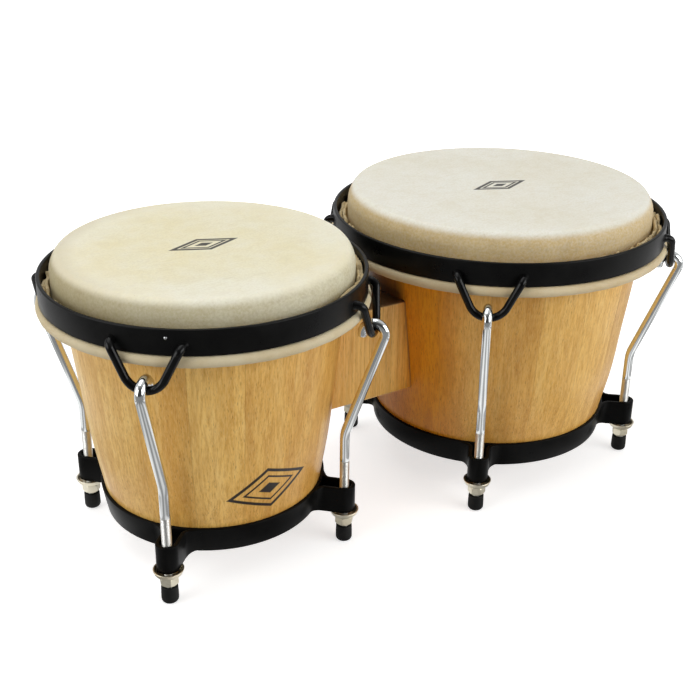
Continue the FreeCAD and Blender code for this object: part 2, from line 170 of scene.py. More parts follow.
def tube_faces(columns, rows):
    """Quads along an open run of closed rings, with a flat face at each end."""
    last = (columns - 1) * rows
    ends = [tuple(range(rows)), tuple(range(last, last + rows))]
    return grid_faces(columns, rows, closed_columns=False) + ends


def tidy_mesh(obj, smooth_angle=35):
    """Merge doubles, point the faces outwards and shade smooth below an angle."""
    bm = bmesh.new()
    bm.from_mesh(obj.data)
    bmesh.ops.remove_doubles(bm, verts=bm.verts, dist=MERGE_DISTANCE)
    bmesh.ops.recalc_face_normals(bm, faces=bm.faces)
    bm.to_mesh(obj.data)
    bm.free()
    obj.data.shade_smooth()
    obj.data.set_sharp_from_angle(angle=math.radians(smooth_angle))


def rounded_loop(points, radii, steps):
    """A closed outline with rounded corners; radii is one number or one for each corner."""
    out = []
    count = len(points)
    for i in range(count):
        corner = Vector(points[i])
        radius = radii[i] if isinstance(radii, (list, tuple)) else radii
        if radius <= 0:
            out.append(corner)
            continue
        back = (Vector(points[i - 1]) - corner).normalized()
        on = (Vector(points[(i + 1) % count]) - corner).normalized()
        half = back.angle(on) / 2
        middle = (back + on).normalized()
        centre = corner + middle * (radius / math.sin(half))
        start = corner + back * (radius / math.tan(half)) - centre
        sweep = math.pi - 2 * half
        turn = sweep if back.x * on.y - back.y * on.x < 0 else -sweep
        for k in range(steps + 1):
            a = turn * k / steps
            out.append(centre + Vector((start.x * math.cos(a) - start.y * math.sin(a),
                                        start.x * math.sin(a) + start.y * math.cos(a))))
    return out


def arc(centre, radius, start, end, steps):
    """Points of an arc in (r, z), its angles in degrees."""
    out = []
    for k in range(steps + 1):
        a = math.radians(start + (end - start) * k / steps)
        out.append(Vector((centre[0] + radius * math.cos(a), centre[1] + radius * math.sin(a))))
    return out


def shoulder(drum, inset=0.0):
    """The head's edge, top to collar: a tight bend, then a wider one down to the collar."""
    tight, wide, split = SHOULDER_TIGHT, SHOULDER_WIDE, 40
    lean = math.radians(split)
    wide_at = Vector((drum.collar_radius - wide,
                      drum.head_z - tight - (wide - tight) * math.sin(lean)))
    tight_at = wide_at + Vector((math.cos(lean), math.sin(lean))) * (wide - tight)
    points = arc(tight_at, tight - inset, 90, split, 8)
    return points + arc(wide_at, wide - inset, split, 0, 8)[1:]


def lathe(name, outline, material, matrix, segments=160, warp=None, closed=True,
          smooth_angle=35):
    """Turn an outline in (r, z) about Z. warp(r, z, angle, i) may move each point."""
    verts = []
    for j in range(segments):
        a = TAU * j / segments
        for i, point in enumerate(outline):
            r, z = point[0], point[1]
            if warp:
                r, z = warp(r, z, a, i)
            verts.append(matrix @ Vector((r * math.cos(a), r * math.sin(a), z)))
    faces = grid_faces(segments, len(outline), closed_rows=closed)
    return make_object(name, verts, faces, material, smooth_angle)


def path_with_bends(points, radii, bend_step, run_step):
    """Straight runs sampled each run_step; corners are arcs sampled each bend_step degrees."""
    out = [Vector(points[0])]

    def run_to(end):
        start = out[-1]
        length = (end - start).length
        pieces = max(1, round(length / run_step))
        for k in range(1, pieces + 1):
            out.append(start.lerp(end, k / pieces))

    for before, corner, after, radius in zip(points, points[1:], points[2:], radii):
        before, corner, after = Vector(before), Vector(corner), Vector(after)
        back, on = (before - corner).normalized(), (after - corner).normalized()
        half = back.angle(on) / 2
        reach = radius / math.tan(half)
        centre = corner + (back + on).normalized() * (radius / math.sin(half))
        first = corner + back * reach
        run_to(first)
        axis = back.cross(on).normalized()
        sweep = math.pi - 2 * half
        steps = max(2, round(math.degrees(sweep) / bend_step))
        for k in range(1, steps + 1):
            spin = Matrix.Rotation(-sweep * k / steps, 3, axis)
            out.append(centre + spin @ (first - centre))
    run_to(Vector(points[-1]))
    return out


def bar(name, path, radius, material, matrix, sides, end_round, side_hint, smooth_angle=40):
    """A round bar along a path, its radius given by radius(i, angle, distance)."""
    tangents = []
    for i in range(len(path)):
        a, b = path[max(i - 1, 0)], path[min(i + 1, len(path) - 1)]
        tangents.append((b - a).normalized())
    side = side_hint
    distance = 0.0
    rings = []
    for i, point in enumerate(path):
        side = (side - tangents[i] * side.dot(tangents[i])).normalized()
        other = tangents[i].cross(side)
        if i:
            distance += (point - path[i - 1]).length
        ring = []
        for j in range(sides):
            a = TAU * j / sides
            spoke = side * math.cos(a) + other * math.sin(a)
            ring.append(point + spoke * radius(i, a, distance))
        rings.append(ring)
    start_caps = end_cap(rings[0], path[0], -tangents[0], end_round)[::-1]
    end_caps = end_cap(rings[-1], path[-1], tangents[-1], end_round)
    every = start_caps + rings + end_caps
    verts = [matrix @ v for ring in every for v in ring]
    return make_object(name, verts, tube_faces(len(every), sides), material, smooth_angle)


def end_cap(ring, centre, along, end_round, steps=3):
    """Rings that round the edge of a bar's end; the last one is its flat face."""
    caps = []
    mean = sum(((v - centre).length for v in ring), 0.0) / len(ring)
    end_round = min(end_round, mean * 0.8)
    for k in range(1, steps + 1):
        a = math.pi / 2 * k / steps
        share = 1 - end_round * (1 - math.cos(a)) / mean
        lift = end_round * math.sin(a)
        caps.append([centre + (v - centre) * share + along * lift for v in ring])
    return caps


def strip(name, path, half_thick, low, high, material, matrix, edge, fit):
    """A flat strip on edge along a plan path, edges rounded; fit(point, z) moves it out and up."""
    section = rounded_loop([(-half_thick, low), (half_thick, low), (half_thick, high),
                            (-half_thick, high)], edge, 3)
    verts = []
    for i, point in enumerate(path):
        a, b = path[max(i - 1, 0)], path[min(i + 1, len(path) - 1)]
        along = (b - a).normalized()
        out = Vector((along.y, -along.x))
        for s in section:
            away, up = fit(point, s[1])
            p = point + out * s[0] + point.normalized() * away
            verts.append(matrix @ Vector((p.x, p.y, s[1] + up)))
    return make_object(name, verts, tube_faces(len(path), len(section)), material)


def join(name, objs):
    """Several meshes as one object."""
    bpy.ops.object.select_all(action="DESELECT")
    for o in objs:
        o.select_set(True)
    bpy.context.view_layer.objects.active = objs[0]
    bpy.ops.object.join()
    objs[0].name = name
    objs[0].data.name = name
    return objs[0]


def cut(obj, tool):
    """Boolean difference, applied; the tool is removed."""
    modifier = obj.modifiers.new("cut", "BOOLEAN")
    modifier.operation = "DIFFERENCE"
    modifier.solver = "EXACT"
    modifier.object = tool
    apply_modifiers(obj)
    bpy.data.objects.remove(tool)


def apply_modifiers(obj):
    """Replace the mesh with its evaluated shape."""
    graph = bpy.context.evaluated_depsgraph_get()
    done = bpy.data.meshes.new_from_object(obj.evaluated_get(graph))
    obj.modifiers.clear()
    old = obj.data
    obj.data = done
    bpy.data.meshes.remove(old)


def wave(angle, seed, terms):
    """A repeatable sum of sines round a full turn, about -1 to 1."""
    picker = random.Random(seed)
    total = 0.0
    for count in terms:
        total += math.sin(count * angle + picker.uniform(0, TAU)) / math.sqrt(len(terms))
    return total


# --- node helpers ------------------------------------------------------------------
class Nodes:
    """A thin wrapper that makes and links the nodes of one material."""

    def __init__(self, name):
        self.material = bpy.data.materials.new(name)
        self.material.use_nodes = True
        self.tree = self.material.node_tree
        self.shader = self.tree.nodes["Principled BSDF"]
        self.coords = self.tree.nodes.new("ShaderNodeTexCoord").outputs["Object"]

    def link(self, value, socket):
        if isinstance(value, bpy.types.NodeSocket):
            self.tree.links.new(value, socket)
        else:
            socket.default_value = value

    def set(self, **values):
        for name, value in values.items():
            self.shader.inputs[name.replace("_", " ")].default_value = value

    def add(self, kind, *values, **settings):
        """A new node with its properties set and its first sockets filled in order."""
        node = self.tree.nodes.new("ShaderNode" + kind)
        for name, value in settings.items():
            setattr(node, name, value)
        for value, socket in zip(values, node.inputs):
            self.link(value, socket)
        return node

    def math(self, operation, *values):
        return self.add("Math", *values, operation=operation).outputs[0]

    def vector_math(self, operation, *values):
        node = self.add("VectorMath", *values, operation=operation)
        return node.outputs["Value" if operation in ("LENGTH", "DOT_PRODUCT") else "Vector"]

    def split(self, vector):
        return self.add("SeparateXYZ", vector).outputs

    def combine(self, x, y, z):
        return self.add("CombineXYZ", x, y, z).outputs[0]

    def polar(self, drum):
        """The split coordinates, the offset from a drum's axis along X and the distance from it."""
        xyz = self.split(self.coords)
        dx = self.math("SUBTRACT", xyz[0], drum.x)
        radius = self.math("SQRT", self.math("ADD", self.math("MULTIPLY", dx, dx),
                                             self.math("MULTIPLY", xyz[1], xyz[1])))
        return xyz, dx, radius

    def noise(self, vector, scale, detail, rough, distortion=0.0):
        node = self.add("TexNoise", vector)
        for name, value in (("Scale", scale), ("Detail", detail), ("Roughness", rough),
                            ("Distortion", distortion)):
            node.inputs[name].default_value = value
        return node.outputs[0]

    def voronoi(self, vector, scale):
        node = self.add("TexVoronoi", vector)
        node.inputs["Scale"].default_value = scale
        return node.outputs["Distance"]

    def white(self, value):
        node = self.add("TexWhiteNoise", noise_dimensions="1D")
        self.link(value, node.inputs["W"])
        return node.outputs["Value"]

    def span(self, value, low, high, to_low=0.0, to_high=1.0, smooth=False):
        """Map low..high to to_low..to_high, held beyond both ends."""
        kind = "SMOOTHSTEP" if smooth else "LINEAR"
        return self.add("MapRange", value, low, high, to_low, to_high, clamp=True,
                        interpolation_type=kind).outputs[0]

    def mix(self, share, a, b, blend="MIX"):
        node = self.add("Mix", share, data_type="RGBA", blend_type=blend,
                        clamp_result=blend == "MULTIPLY")
        self.link(a, node.inputs[6])
        self.link(b, node.inputs[7])
        return node.outputs[2]

    def layer(self, base, mask, low, high, share, colour):
        """Lay a colour over the base where the mask goes from low to high, up to a share."""
        return self.mix(self.span(mask, low, high, 0.0, share), base, colour)

    def tint(self, base, colour):
        return self.mix(1.0, base, colour, "MULTIPLY")

    def bump(self, height, strength, distance):
        node = self.tree.nodes.new("ShaderNodeBump")
        node.inputs["Strength"].default_value = strength
        node.inputs["Distance"].default_value = distance
        self.link(height, node.inputs["Height"])
        return node.outputs[0]

    def out(self, colour, rough, normal=None):
        for value, name in ((colour, "Base Color"), (rough, "Roughness"), (normal, "Normal")):
            if value is not None:
                self.link(value, self.shader.inputs[name])
        return self.material


def rgb(r, g, b):
    return (r, g, b, 1.0)


WOOD_PALE = rgb(0.945, 0.605, 0.176)
WOOD_DARK = rgb(0.855, 0.495, 0.114)
WOOD_LINE = rgb(0.640, 0.320, 0.058)
WOOD_LIGHT = rgb(0.930, 0.660, 0.260)
WOOD_PORE = rgb(0.300, 0.125, 0.026)
# Painted shade: the orange of wood lit only by light bounced between the shells, on the shells and
# on the block.
INWARD_SHADE_TINT = rgb(1.120, 0.810, 0.160)
BLOCK_SHADE_TINT = rgb(0.990, 0.700, 0.130)
# Painted shade: a near-black for deep shadow.
PAINTED_SHADE_DARK = rgb(0.040, 0.030, 0.026)


# --- materials -----------------------------------------------------------------------
def wood_layers(n, across, deep, along, tint):
    """Straight-grained pale hardwood from board coordinates: colour, roughness and normal."""
    def painted_edge_highlight(amount):
        return n.combine(across, deep, n.math("MULTIPLY", along, amount))

    slow = painted_edge_highlight(0.09)
    figure = n.noise(slow, 55.0, 3.0, 0.5, 0.6)
    broad = n.noise(slow, 16.0, 2.0, 0.5)
    streak = n.noise(painted_edge_highlight(0.035), 150.0, 3.0, 0.55)
    lines = n.noise(painted_edge_highlight(0.02), 760.0, 4.0, 0.7)
    fibre = n.noise(painted_edge_highlight(0.08), 1700.0, 2.0, 0.6)
    bands = n.math("SINE", n.math("MULTIPLY", n.math("ADD", across,
                                                     n.math("MULTIPLY", figure, 0.020)), 700.0))
    band = n.span(bands, -1.0, 1.0, 0.0, 1.0)
    pore_zone = n.span(n.noise(slow, 90.0, 2.0, 0.5), 0.34, 0.54, 0.25, 1.0)
    fine = n.span(n.voronoi(painted_edge_highlight(0.09), 1900.0), 0.28, 0.14)
    coarse = n.span(n.voronoi(painted_edge_highlight(0.075), 1050.0), 0.20, 0.11)
    pores = n.math("MULTIPLY", n.math("MAXIMUM", n.math("MULTIPLY", fine, 0.5), coarse), pore_zone)
    base = n.mix(n.span(broad, 0.32, 0.68), WOOD_PALE, WOOD_DARK)
    base = n.mix(n.math("MULTIPLY", band, 0.16), base, WOOD_LINE)
    base = n.layer(base, streak, 0.47, 0.68, 0.68, WOOD_LINE)
    base = n.layer(base, streak, 0.46, 0.28, 0.45, WOOD_LIGHT)
    base = n.layer(base, lines, 0.44, 0.62, 0.78, WOOD_LINE)
    base = n.layer(base, fibre, 0.42, 0.70, 0.40, WOOD_LIGHT)
    base = n.mix(n.math("MULTIPLY", pores, 0.66), base, WOOD_PORE)
    pale = n.mix(tint, rgb(0.89, 0.81, 0.68), rgb(1.06, 1.07, 1.06))
    base = n.tint(base, pale)
    rough = n.math("ADD", n.span(lines, 0.3, 0.75, 0.36, 0.47), n.math("MULTIPLY", pores, 0.2))
    height = n.math("SUBTRACT", n.math("MULTIPLY", lines, 0.35), pores)
    normal = n.bump(height, 0.25, 0.12 * MM)
    return base, rough, normal


def shell_wood(drum):
    """Staves: the board coordinates follow each stave round the drum."""
    n = Nodes(drum.name + "_shell_wood")
    xyz, dx, radius = n.polar(drum)
    angle = n.math("ARCTAN2", xyz[1], dx)
    share = n.math("MULTIPLY", angle, drum.staves / TAU)
    stave = n.math("FLOOR", n.math("ADD", share, 0.5))
    pick = n.white(n.math("ADD", stave, 0.37 + drum.seed))
    other = n.white(n.math("ADD", stave, 91.7 + drum.seed))
    mid_radius = drum.shell_radii[1]
    across = n.math("ADD", n.math("MULTIPLY", n.math("SUBTRACT", share, stave),
                                  mid_radius * TAU / drum.staves),
                    n.math("MULTIPLY", pick, 3.0))
    deep = n.math("ADD", radius, n.math("MULTIPLY", other, 2.0))
    base, rough, normal = wood_layers(n, across, deep, xyz[2], other)
    # Painted shade: staves facing the other drum turn deep orange, like wood lit only by light
    # bounced between the shells.
    inward = n.math("MULTIPLY", n.math("DIVIDE", dx, radius), -drum.side)
    base = n.mix(n.span(inward, 0.68, 0.90, 0.0, 1.0, smooth=True), base,
                 n.tint(base, INWARD_SHADE_TINT))
    # Painted sheen: staves facing away from the other drum are paler and bluer.
    outward_sheen = n.span(inward, -0.55, -0.95)
    base = n.mix(outward_sheen, base, n.tint(base, rgb(1.02, 1.12, 1.34)))
    # Painted shade: the shell is darker and browner towards its bottom.
    base = n.mix(n.span(xyz[2], 80 * MM, 30 * MM), base,
                 n.tint(base, rgb(0.97, 0.90, 0.76)))
    # Painted shadow: the shell goes near-black just above the block, where it faces the other drum.
    block_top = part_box("centre_block")[1].z
    shadow_above_block = n.math("MULTIPLY", n.span(inward, 0.960, 0.985, smooth=True),
                   n.span(xyz[2], block_top + 24 * MM, block_top + 4 * MM, 0.0, 0.85))
    base = n.mix(n.math("MULTIPLY", shadow_above_block, n.span(xyz[2], block_top - 1 * MM, block_top)), base,
                 PAINTED_SHADE_DARK)
    off = n.math("ABSOLUTE", n.math("SUBTRACT", share, stave))
    seam = n.span(off, 0.5 - 0.0085, 0.5, 0.0, 0.28)
    base = n.mix(seam, base, rgb(0.20, 0.09, 0.025))
    base = n.mix(emblem_on_shell(n, drum, angle, xyz[2]), base, rgb(0.008, 0.004, 0.002))
    n.set(Specular_IOR_Level=0.4, Coat_Weight=0.22, Coat_Roughness=0.18, Coat_IOR=1.45)
    return n.out(base, rough, normal)


def block_wood():
    """The same timber with its grain upright, so the top and bottom show end grain."""
    n = Nodes("block_wood")
    xyz = n.split(n.coords)
    across = n.math("ADD", xyz[0], 7.31)
    base, rough, normal = wood_layers(n, across, n.math("ADD", xyz[1], 1.7), xyz[2], 0.35)
    streaks = n.noise(n.combine(across, xyz[1], n.math("MULTIPLY", xyz[2], 0.06)), 420.0, 3.0, 0.6)
    zone = n.span(xyz[0], 8 * MM, 16 * MM, 0.15, 0.75)
    # Painted shade: towards the large shell the block takes the orange of light bounced between the
    # shells.
    base = n.mix(n.span(xyz[0], 0.0, 16 * MM), base, n.tint(base, BLOCK_SHADE_TINT))
    for drum in DRUMS:
        radius = n.polar(drum)[2]
        wall = n.math("MULTIPLY_ADD", n.math("SUBTRACT", xyz[2], SHELL_HEIGHTS[0]),
                      (drum.shell_radii[2] - drum.shell_radii[0])
                      / (SHELL_HEIGHTS[2] - SHELL_HEIGHTS[0]), drum.shell_radii[0])
        joint = n.span(n.math("SUBTRACT", radius, wall), 1.6 * MM, 0.5 * MM, 0.0, 0.75)
        base = n.mix(joint, base, WOOD_PORE)
    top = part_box("centre_block")[1].z
    # Painted shade: the block's top goes near-black.
    base = n.layer(base, xyz[2], top - 1.2 * MM, top - 0.5 * MM, 0.88, PAINTED_SHADE_DARK)
    dark_streaks = n.math("MULTIPLY", n.span(streaks, 0.56, 0.64), zone)
    base = n.mix(dark_streaks, base, rgb(0.10, 0.045, 0.015))
    n.set(Specular_IOR_Level=0.4, Coat_Weight=0.2, Coat_Roughness=0.2, Coat_IOR=1.45)
    return n.out(base, rough, normal)


EMBLEM_ANGLE = math.radians(-88.5)
EMBLEM_Z = 62.5 * MM
EMBLEM_HALF = (27.0 * MM, 15.0 * MM)


def lozenge_mark(n, u, v, half_u, half_v, bold=1.0):
    """A plain generic mark: two nested lozenges and a small solid one, as a 0..1 mask."""
    size = n.math("ADD", n.math("ABSOLUTE", n.math("DIVIDE", u, half_u)),
                  n.math("ABSOLUTE", n.math("DIVIDE", v, half_v)))

    def line(at, width):
        return n.span(n.math("ABSOLUTE", n.math("SUBTRACT", size, at)), width, width * 0.7)

    outer = line(1 - 0.1 * bold, 0.090 * bold)
    inner = line(0.58, 0.055 * bold)
    dot = n.span(size, 0.28, 0.24)
    return n.math("MAXIMUM", n.math("MAXIMUM", outer, inner), dot)


def emblem_on_shell(n, drum, angle, height):
    """A generic lozenge burnt into the small shell; nothing on the large one."""
    if drum is not SMALL:
        return 0.0
    u = n.math("MULTIPLY", n.math("SUBTRACT", angle, EMBLEM_ANGLE), 70.5 * MM)
    v = n.math("SUBTRACT", height, EMBLEM_Z)
    tilt = math.radians(8)
    along = n.math("ADD", n.math("MULTIPLY", u, math.cos(tilt)),
                   n.math("MULTIPLY", v, math.sin(tilt)))
    over = n.math("SUBTRACT", n.math("MULTIPLY", v, math.cos(tilt)),
                  n.math("MULTIPLY", u, math.sin(tilt)))
    return n.math("MULTIPLY", lozenge_mark(n, along, over, *EMBLEM_HALF), 0.99)


HIDE_TONES = {"small": (rgb(0.820, 0.785, 0.600), rgb(0.800, 0.715, 0.430)),
              "large": (rgb(0.800, 0.785, 0.700), rgb(0.750, 0.715, 0.590))}
COLLAR_TONES = {"small": (rgb(0.460, 0.395, 0.200), rgb(0.400, 0.320, 0.135)),
                "large": (rgb(0.550, 0.390, 0.125), rgb(0.470, 0.300, 0.065))}
# Painted light and shade across each collar, from left to right.
COLLAR_SIDE_LIGHTING = {"small": (rgb(0.720, 0.700, 0.660), rgb(1.420, 1.560, 2.100)),
                "large": (rgb(1.000, 1.020, 1.200), rgb(1.280, 1.340, 1.800))}


def rawhide(drum):
    """Cream hide: mottled, finely fibrous, tanner towards the collar and the cut edge."""
    n = Nodes(drum.name + "_rawhide")
    xyz, dx, radius = n.polar(drum)
    shifted = n.vector_math("ADD", n.coords, (drum.seed * 0.37, 0.0, 0.0))
    cloud = n.noise(shifted, 13.0, 3.0, 0.5)
    mottle = n.noise(shifted, 95.0, 4.0, 0.6, 0.4)
    grain = n.noise(shifted, 700.0, 3.0, 0.65)
    drawn = n.combine(n.math("MULTIPLY", xyz[0], 0.35), xyz[1], xyz[2])
    fibre = n.noise(drawn, 420.0, 3.0, 0.6, 0.8)
    base = n.mix(n.span(cloud, 0.35, 0.68), *HIDE_TONES[drum.name])
    base = n.layer(base, mottle, 0.42, 0.70, 0.28, rgb(0.860, 0.845, 0.765))
    base = n.layer(base, mottle, 0.50, 0.28, 0.20, rgb(0.640, 0.560, 0.370))
    base = n.layer(base, fibre, 0.50, 0.72, 0.26, rgb(0.650, 0.575, 0.390))
    base = n.layer(base, grain, 0.56, 0.38, 0.24, rgb(0.600, 0.530, 0.350))
    edge = shoulder(drum)[0].x
    # Painted highlight: the head is paler in a ring near its edge, more strongly on the small drum.
    painted_edge_highlight = n.span(n.math("ADD", radius, n.math("MULTIPLY", cloud, 12 * MM)),
                       edge - 22 * MM, edge + 5 * MM, 0.0, 0.30 if drum is SMALL else 0.12)
    base = n.mix(painted_edge_highlight, base, rgb(0.880, 0.865, 0.780))
    sideways = n.math("SUBTRACT", n.math("MULTIPLY", dx, 0.84), n.math("MULTIPLY", xyz[1], 0.54))
    # A darker patch near the small head's edge, growing towards the left along sideways.
    if drum is SMALL:
        darker_left_patch = n.math("MULTIPLY", n.span(radius, edge - 9 * MM, edge + 3 * MM),
                         n.span(sideways, -25 * MM, -75 * MM, 0.0, 0.55))
        base = n.mix(darker_left_patch, base, rgb(0.560, 0.480, 0.320))
    lower = n.span(xyz[2], drum.head_z - 0.8 * MM, drum.head_z - 5 * MM, 0.0, 1.0, smooth=True)
    patch = n.noise(n.combine(n.math("MULTIPLY", n.math("ARCTAN2", xyz[1], dx), 0.08), xyz[2], 3.3),
                    60.0, 3.0, 0.55)
    tan = n.mix(n.span(patch, 0.3, 0.7), *COLLAR_TONES[drum.name])
    tan = n.layer(tan, grain, 0.35, 0.62, 0.30, rgb(0.690, 0.610, 0.400))
    tan = n.layer(tan, fibre, 0.46, 0.66, 0.22, rgb(0.360, 0.280, 0.150))
    # Painted light and shade: the collar is darker on the left and paler and bluer on the right.
    side_lighting = n.mix(n.span(sideways, -drum.shell_radii[2], drum.shell_radii[2]),
                  *COLLAR_SIDE_LIGHTING[drum.name])
    tan = n.tint(tan, side_lighting)
    base = n.mix(n.math("MULTIPLY", lower, 0.90), base, tan)
    roll = n.span(xyz[2], drum.rim_low + 1 * MM, drum.rim_low - 1 * MM)
    base = n.mix(n.math("MULTIPLY", roll, 0.75), base,
                 n.mix(n.span(patch, 0.3, 0.7), rgb(0.715, 0.610, 0.410), rgb(0.635, 0.500, 0.290)))
    specks = n.span(n.voronoi(shifted, 260.0), 0.10, 0.06, 0.0, 0.30)
    base = n.mix(specks, base, rgb(0.46, 0.36, 0.20))
    mark = n.math("MULTIPLY", n.math("MULTIPLY", lozenge_mark(
        n, dx, xyz[1], 23.0 * MM, 10.5 * MM, 1.5), 0.96), n.span(radius, 40 * MM, 39 * MM))
    on_top = n.span(xyz[2], drum.head_z - 0.4 * MM, drum.head_z - 0.2 * MM)
    base = n.mix(n.math("MULTIPLY", mark, on_top), base, rgb(0.026, 0.024, 0.021))
    rough = n.span(mottle, 0.3, 0.7, 0.48, 0.64)
    height = n.math("ADD", n.math("MULTIPLY", mottle, 0.5), n.math("MULTIPLY", grain, 0.28))
    normal = n.bump(n.math("ADD", height, n.math("MULTIPLY", fibre, 0.25)), 0.30, 0.35 * MM)
    n.set(Specular_IOR_Level=0.35, Subsurface_Weight=0.08, Subsurface_Scale=1.5 * MM,
          Sheen_Weight=0.08, Sheen_Roughness=0.4)
    n.shader.inputs["Subsurface Radius"].default_value = (1.0, 0.7, 0.4)
    return n.out(base, rough, normal)


def cut_hide(drum):
    """The rough cut end of the hide: tan, fibrous and matt."""
    n = Nodes(drum.name + "_cut_hide")
    shifted = n.vector_math("ADD", n.coords, (0.0, drum.seed * 0.21, 0.0))
    blotch = n.noise(shifted, 160.0, 4.0, 0.6)
    hair = n.noise(n.vector_math("MULTIPLY", shifted, (1.0, 1.0, 0.25)), 1300.0, 3.0, 0.65)
    base = n.mix(n.span(blotch, 0.3, 0.7), rgb(0.780, 0.650, 0.400), rgb(0.640, 0.470, 0.220))
    base = n.layer(base, hair, 0.45, 0.72, 0.5, rgb(0.860, 0.780, 0.560))
    n.set(Specular_IOR_Level=0.25)
    return n.out(base, n.span(hair, 0.3, 0.7, 0.65, 0.85), n.bump(hair, 0.6, 0.4 * MM))


def powder_coat(name, gloss):
    """Satin black paint on steel, with a faint orange peel, dust and rubbed spots."""
    n = Nodes(name)
    peel = n.noise(n.coords, 900.0, 2.0, 0.5)
    wear = n.noise(n.coords, 70.0, 5.0, 0.65)
    dust = n.span(n.noise(n.coords, 2400.0, 2.0, 0.6), 0.66, 0.78)
    base = n.mix(n.span(wear, 0.35, 0.75), rgb(0.0030, 0.0030, 0.0030), rgb(0.0060, 0.0060, 0.0056))
    base = n.mix(n.math("MULTIPLY", dust, 0.30), base, rgb(0.050, 0.050, 0.046))
    rough = n.span(wear, 0.3, 0.7, 0.26, 0.36)
    n.set(Specular_IOR_Level=gloss)
    return n.out(base, rough, n.bump(peel, 0.18, 0.10 * MM))


def loop_paint():
    """Glossier black on the round bar of the V loops."""
    n = Nodes("black_bar_paint")
    wear = n.noise(n.coords, 160.0, 4.0, 0.6)
    base = n.mix(n.span(wear, 0.4, 0.75), rgb(0.0030, 0.0030, 0.0030), rgb(0.0070, 0.0070, 0.0066))
    n.set(Specular_IOR_Level=0.20)
    return n.out(base, n.span(wear, 0.3, 0.7, 0.12, 0.20), n.bump(wear, 0.10, 0.10 * MM))


def plated(name, bright, dull, rough_low, rough_high, spots=0.0):
    """Plated steel: cloudy brightness, fine scratches and a few dull spots."""
    n = Nodes(name)
    cloud = n.noise(n.coords, 60.0, 4.0, 0.55)
    scratch = n.noise(n.vector_math("MULTIPLY", n.coords, (1.0, 1.0, 0.06)), 2600.0, 2.0, 0.6)
    base = n.mix(n.span(cloud, 0.35, 0.7), rgb(*bright), rgb(*dull))
    if spots:
        stain = n.span(n.noise(n.coords, 330.0, 4.0, 0.65), 0.58, 0.70, 0.0, spots)
        base = n.mix(stain, base, rgb(0.300, 0.215, 0.110))
    rough = n.math("ADD", n.span(cloud, 0.3, 0.7, rough_low, rough_high),
                   n.span(scratch, 0.55, 0.75, 0.0, 0.06))
    n.set(Metallic=1.0)
    return n.out(base, rough, n.bump(scratch, 0.03, 0.03 * MM))


def rubber():
    """Matt black rubber, slightly scuffed."""
    n = Nodes("black_rubber")
    grain = n.noise(n.coords, 1500.0, 3.0, 0.6)
    scuff = n.noise(n.coords, 240.0, 4.0, 0.65)
    base = n.mix(n.span(scuff, 0.45, 0.75), rgb(0.0045, 0.0045, 0.0044),
                 rgb(0.0180, 0.0175, 0.0165))
    n.set(Specular_IOR_Level=0.22)
    return n.out(base, n.span(scuff, 0.3, 0.7, 0.50, 0.70), n.bump(grain, 0.25, 0.12 * MM))


def ray(tree, kind):
    """A mask of 1 for the rays of one kind; only the floor and the world use it."""
    return tree.nodes.new("ShaderNodeLightPath").outputs[kind]


def floor_paint():
    """Plain white to the camera, a darker bounce, and soft light and dark bands to shiny rods."""
    n = Nodes("floor_white")
    tone = n.noise(n.coords, 3.0, 2.0, 0.5)
    base = n.mix(n.span(tone, 0.3, 0.7), rgb(0.79, 0.79, 0.79), rgb(0.81, 0.81, 0.81))
    base = n.mix(ray(n.tree, "Is Diffuse Ray"), base, rgb(*[FLOOR_BOUNCE] * 3))
    base = n.mix(ray(n.tree, "Is Glossy Ray"), base, rgb(0.12, 0.12, 0.12))
    n.set(Specular_IOR_Level=0.0)
    n.shader.inputs["Emission Color"].default_value = rgb(1, 1, 1)
    away = n.vector_math("LENGTH", n.coords)
    direct = n.math("MULTIPLY", ray(n.tree, "Is Camera Ray"),
                    n.span(away, 0.30, 1.2, *FLOOR_GLOW))
    toward = n.vector_math("DOT_PRODUCT", n.coords, CAMERA_SIDE)
    mirrored = n.math("MULTIPLY", ray(n.tree, "Is Glossy Ray"),
                      n.span(toward, 0.10, 0.32, *FLOOR_SHEEN))
    beside = n.vector_math("DOT_PRODUCT", n.coords, CAMERA_RIGHT)
    flags = n.math("SINE", n.math("MULTIPLY", beside, TAU / FLAG_SPACING))
    mirrored = n.math("MULTIPLY", mirrored, n.span(flags, -0.7, 0.7, 0.50, 1.45, smooth=True))
    n.link(n.math("ADD", direct, mirrored), n.shader.inputs["Emission Strength"])
    return n.out(base, 0.9)


# The studio: which way its dark side lies, and the light of floor and room from near to far.
CAMERA_SIDE = (-0.538, -0.843, 0.0)
CAMERA_RIGHT = (0.843, -0.538, 0.0)
FLAG_SPACING = 0.11
FLOOR_BOUNCE = 0.45
FLOOR_GLOW = (0.62, 1.0)
FLOOR_SHEEN = (0.64, 0.12)
ROOM_LIGHT = (0.60, 0.05)
SHELL_WOOD = {drum.name: shell_wood(drum) for drum in DRUMS}
RAWHIDE = {drum.name: rawhide(drum) for drum in DRUMS}
CUT_HIDE = {drum.name: cut_hide(drum) for drum in DRUMS}
BLOCK_WOOD = block_wood()
RIM_BLACK = powder_coat("rim_powder_coat", 0.14)
RING_BLACK = powder_coat("ring_powder_coat", 0.055)
BLACK_BAR = loop_paint()
CHROME = plated("chrome", (0.87, 0.89, 0.89), (0.79, 0.82, 0.82), 0.07, 0.12)
THREAD = plated("rolled_thread", (0.84, 0.84, 0.81), (0.70, 0.69, 0.65), 0.30, 0.42, 0.20)
NICKEL = plated("nickel", (0.86, 0.81, 0.66), (0.70, 0.63, 0.47), 0.30, 0.42, 0.30)
ZINC = plated("zinc", (0.62, 0.63, 0.64), (0.45, 0.46, 0.47), 0.30, 0.42, 0.15)
RUBBER = rubber()


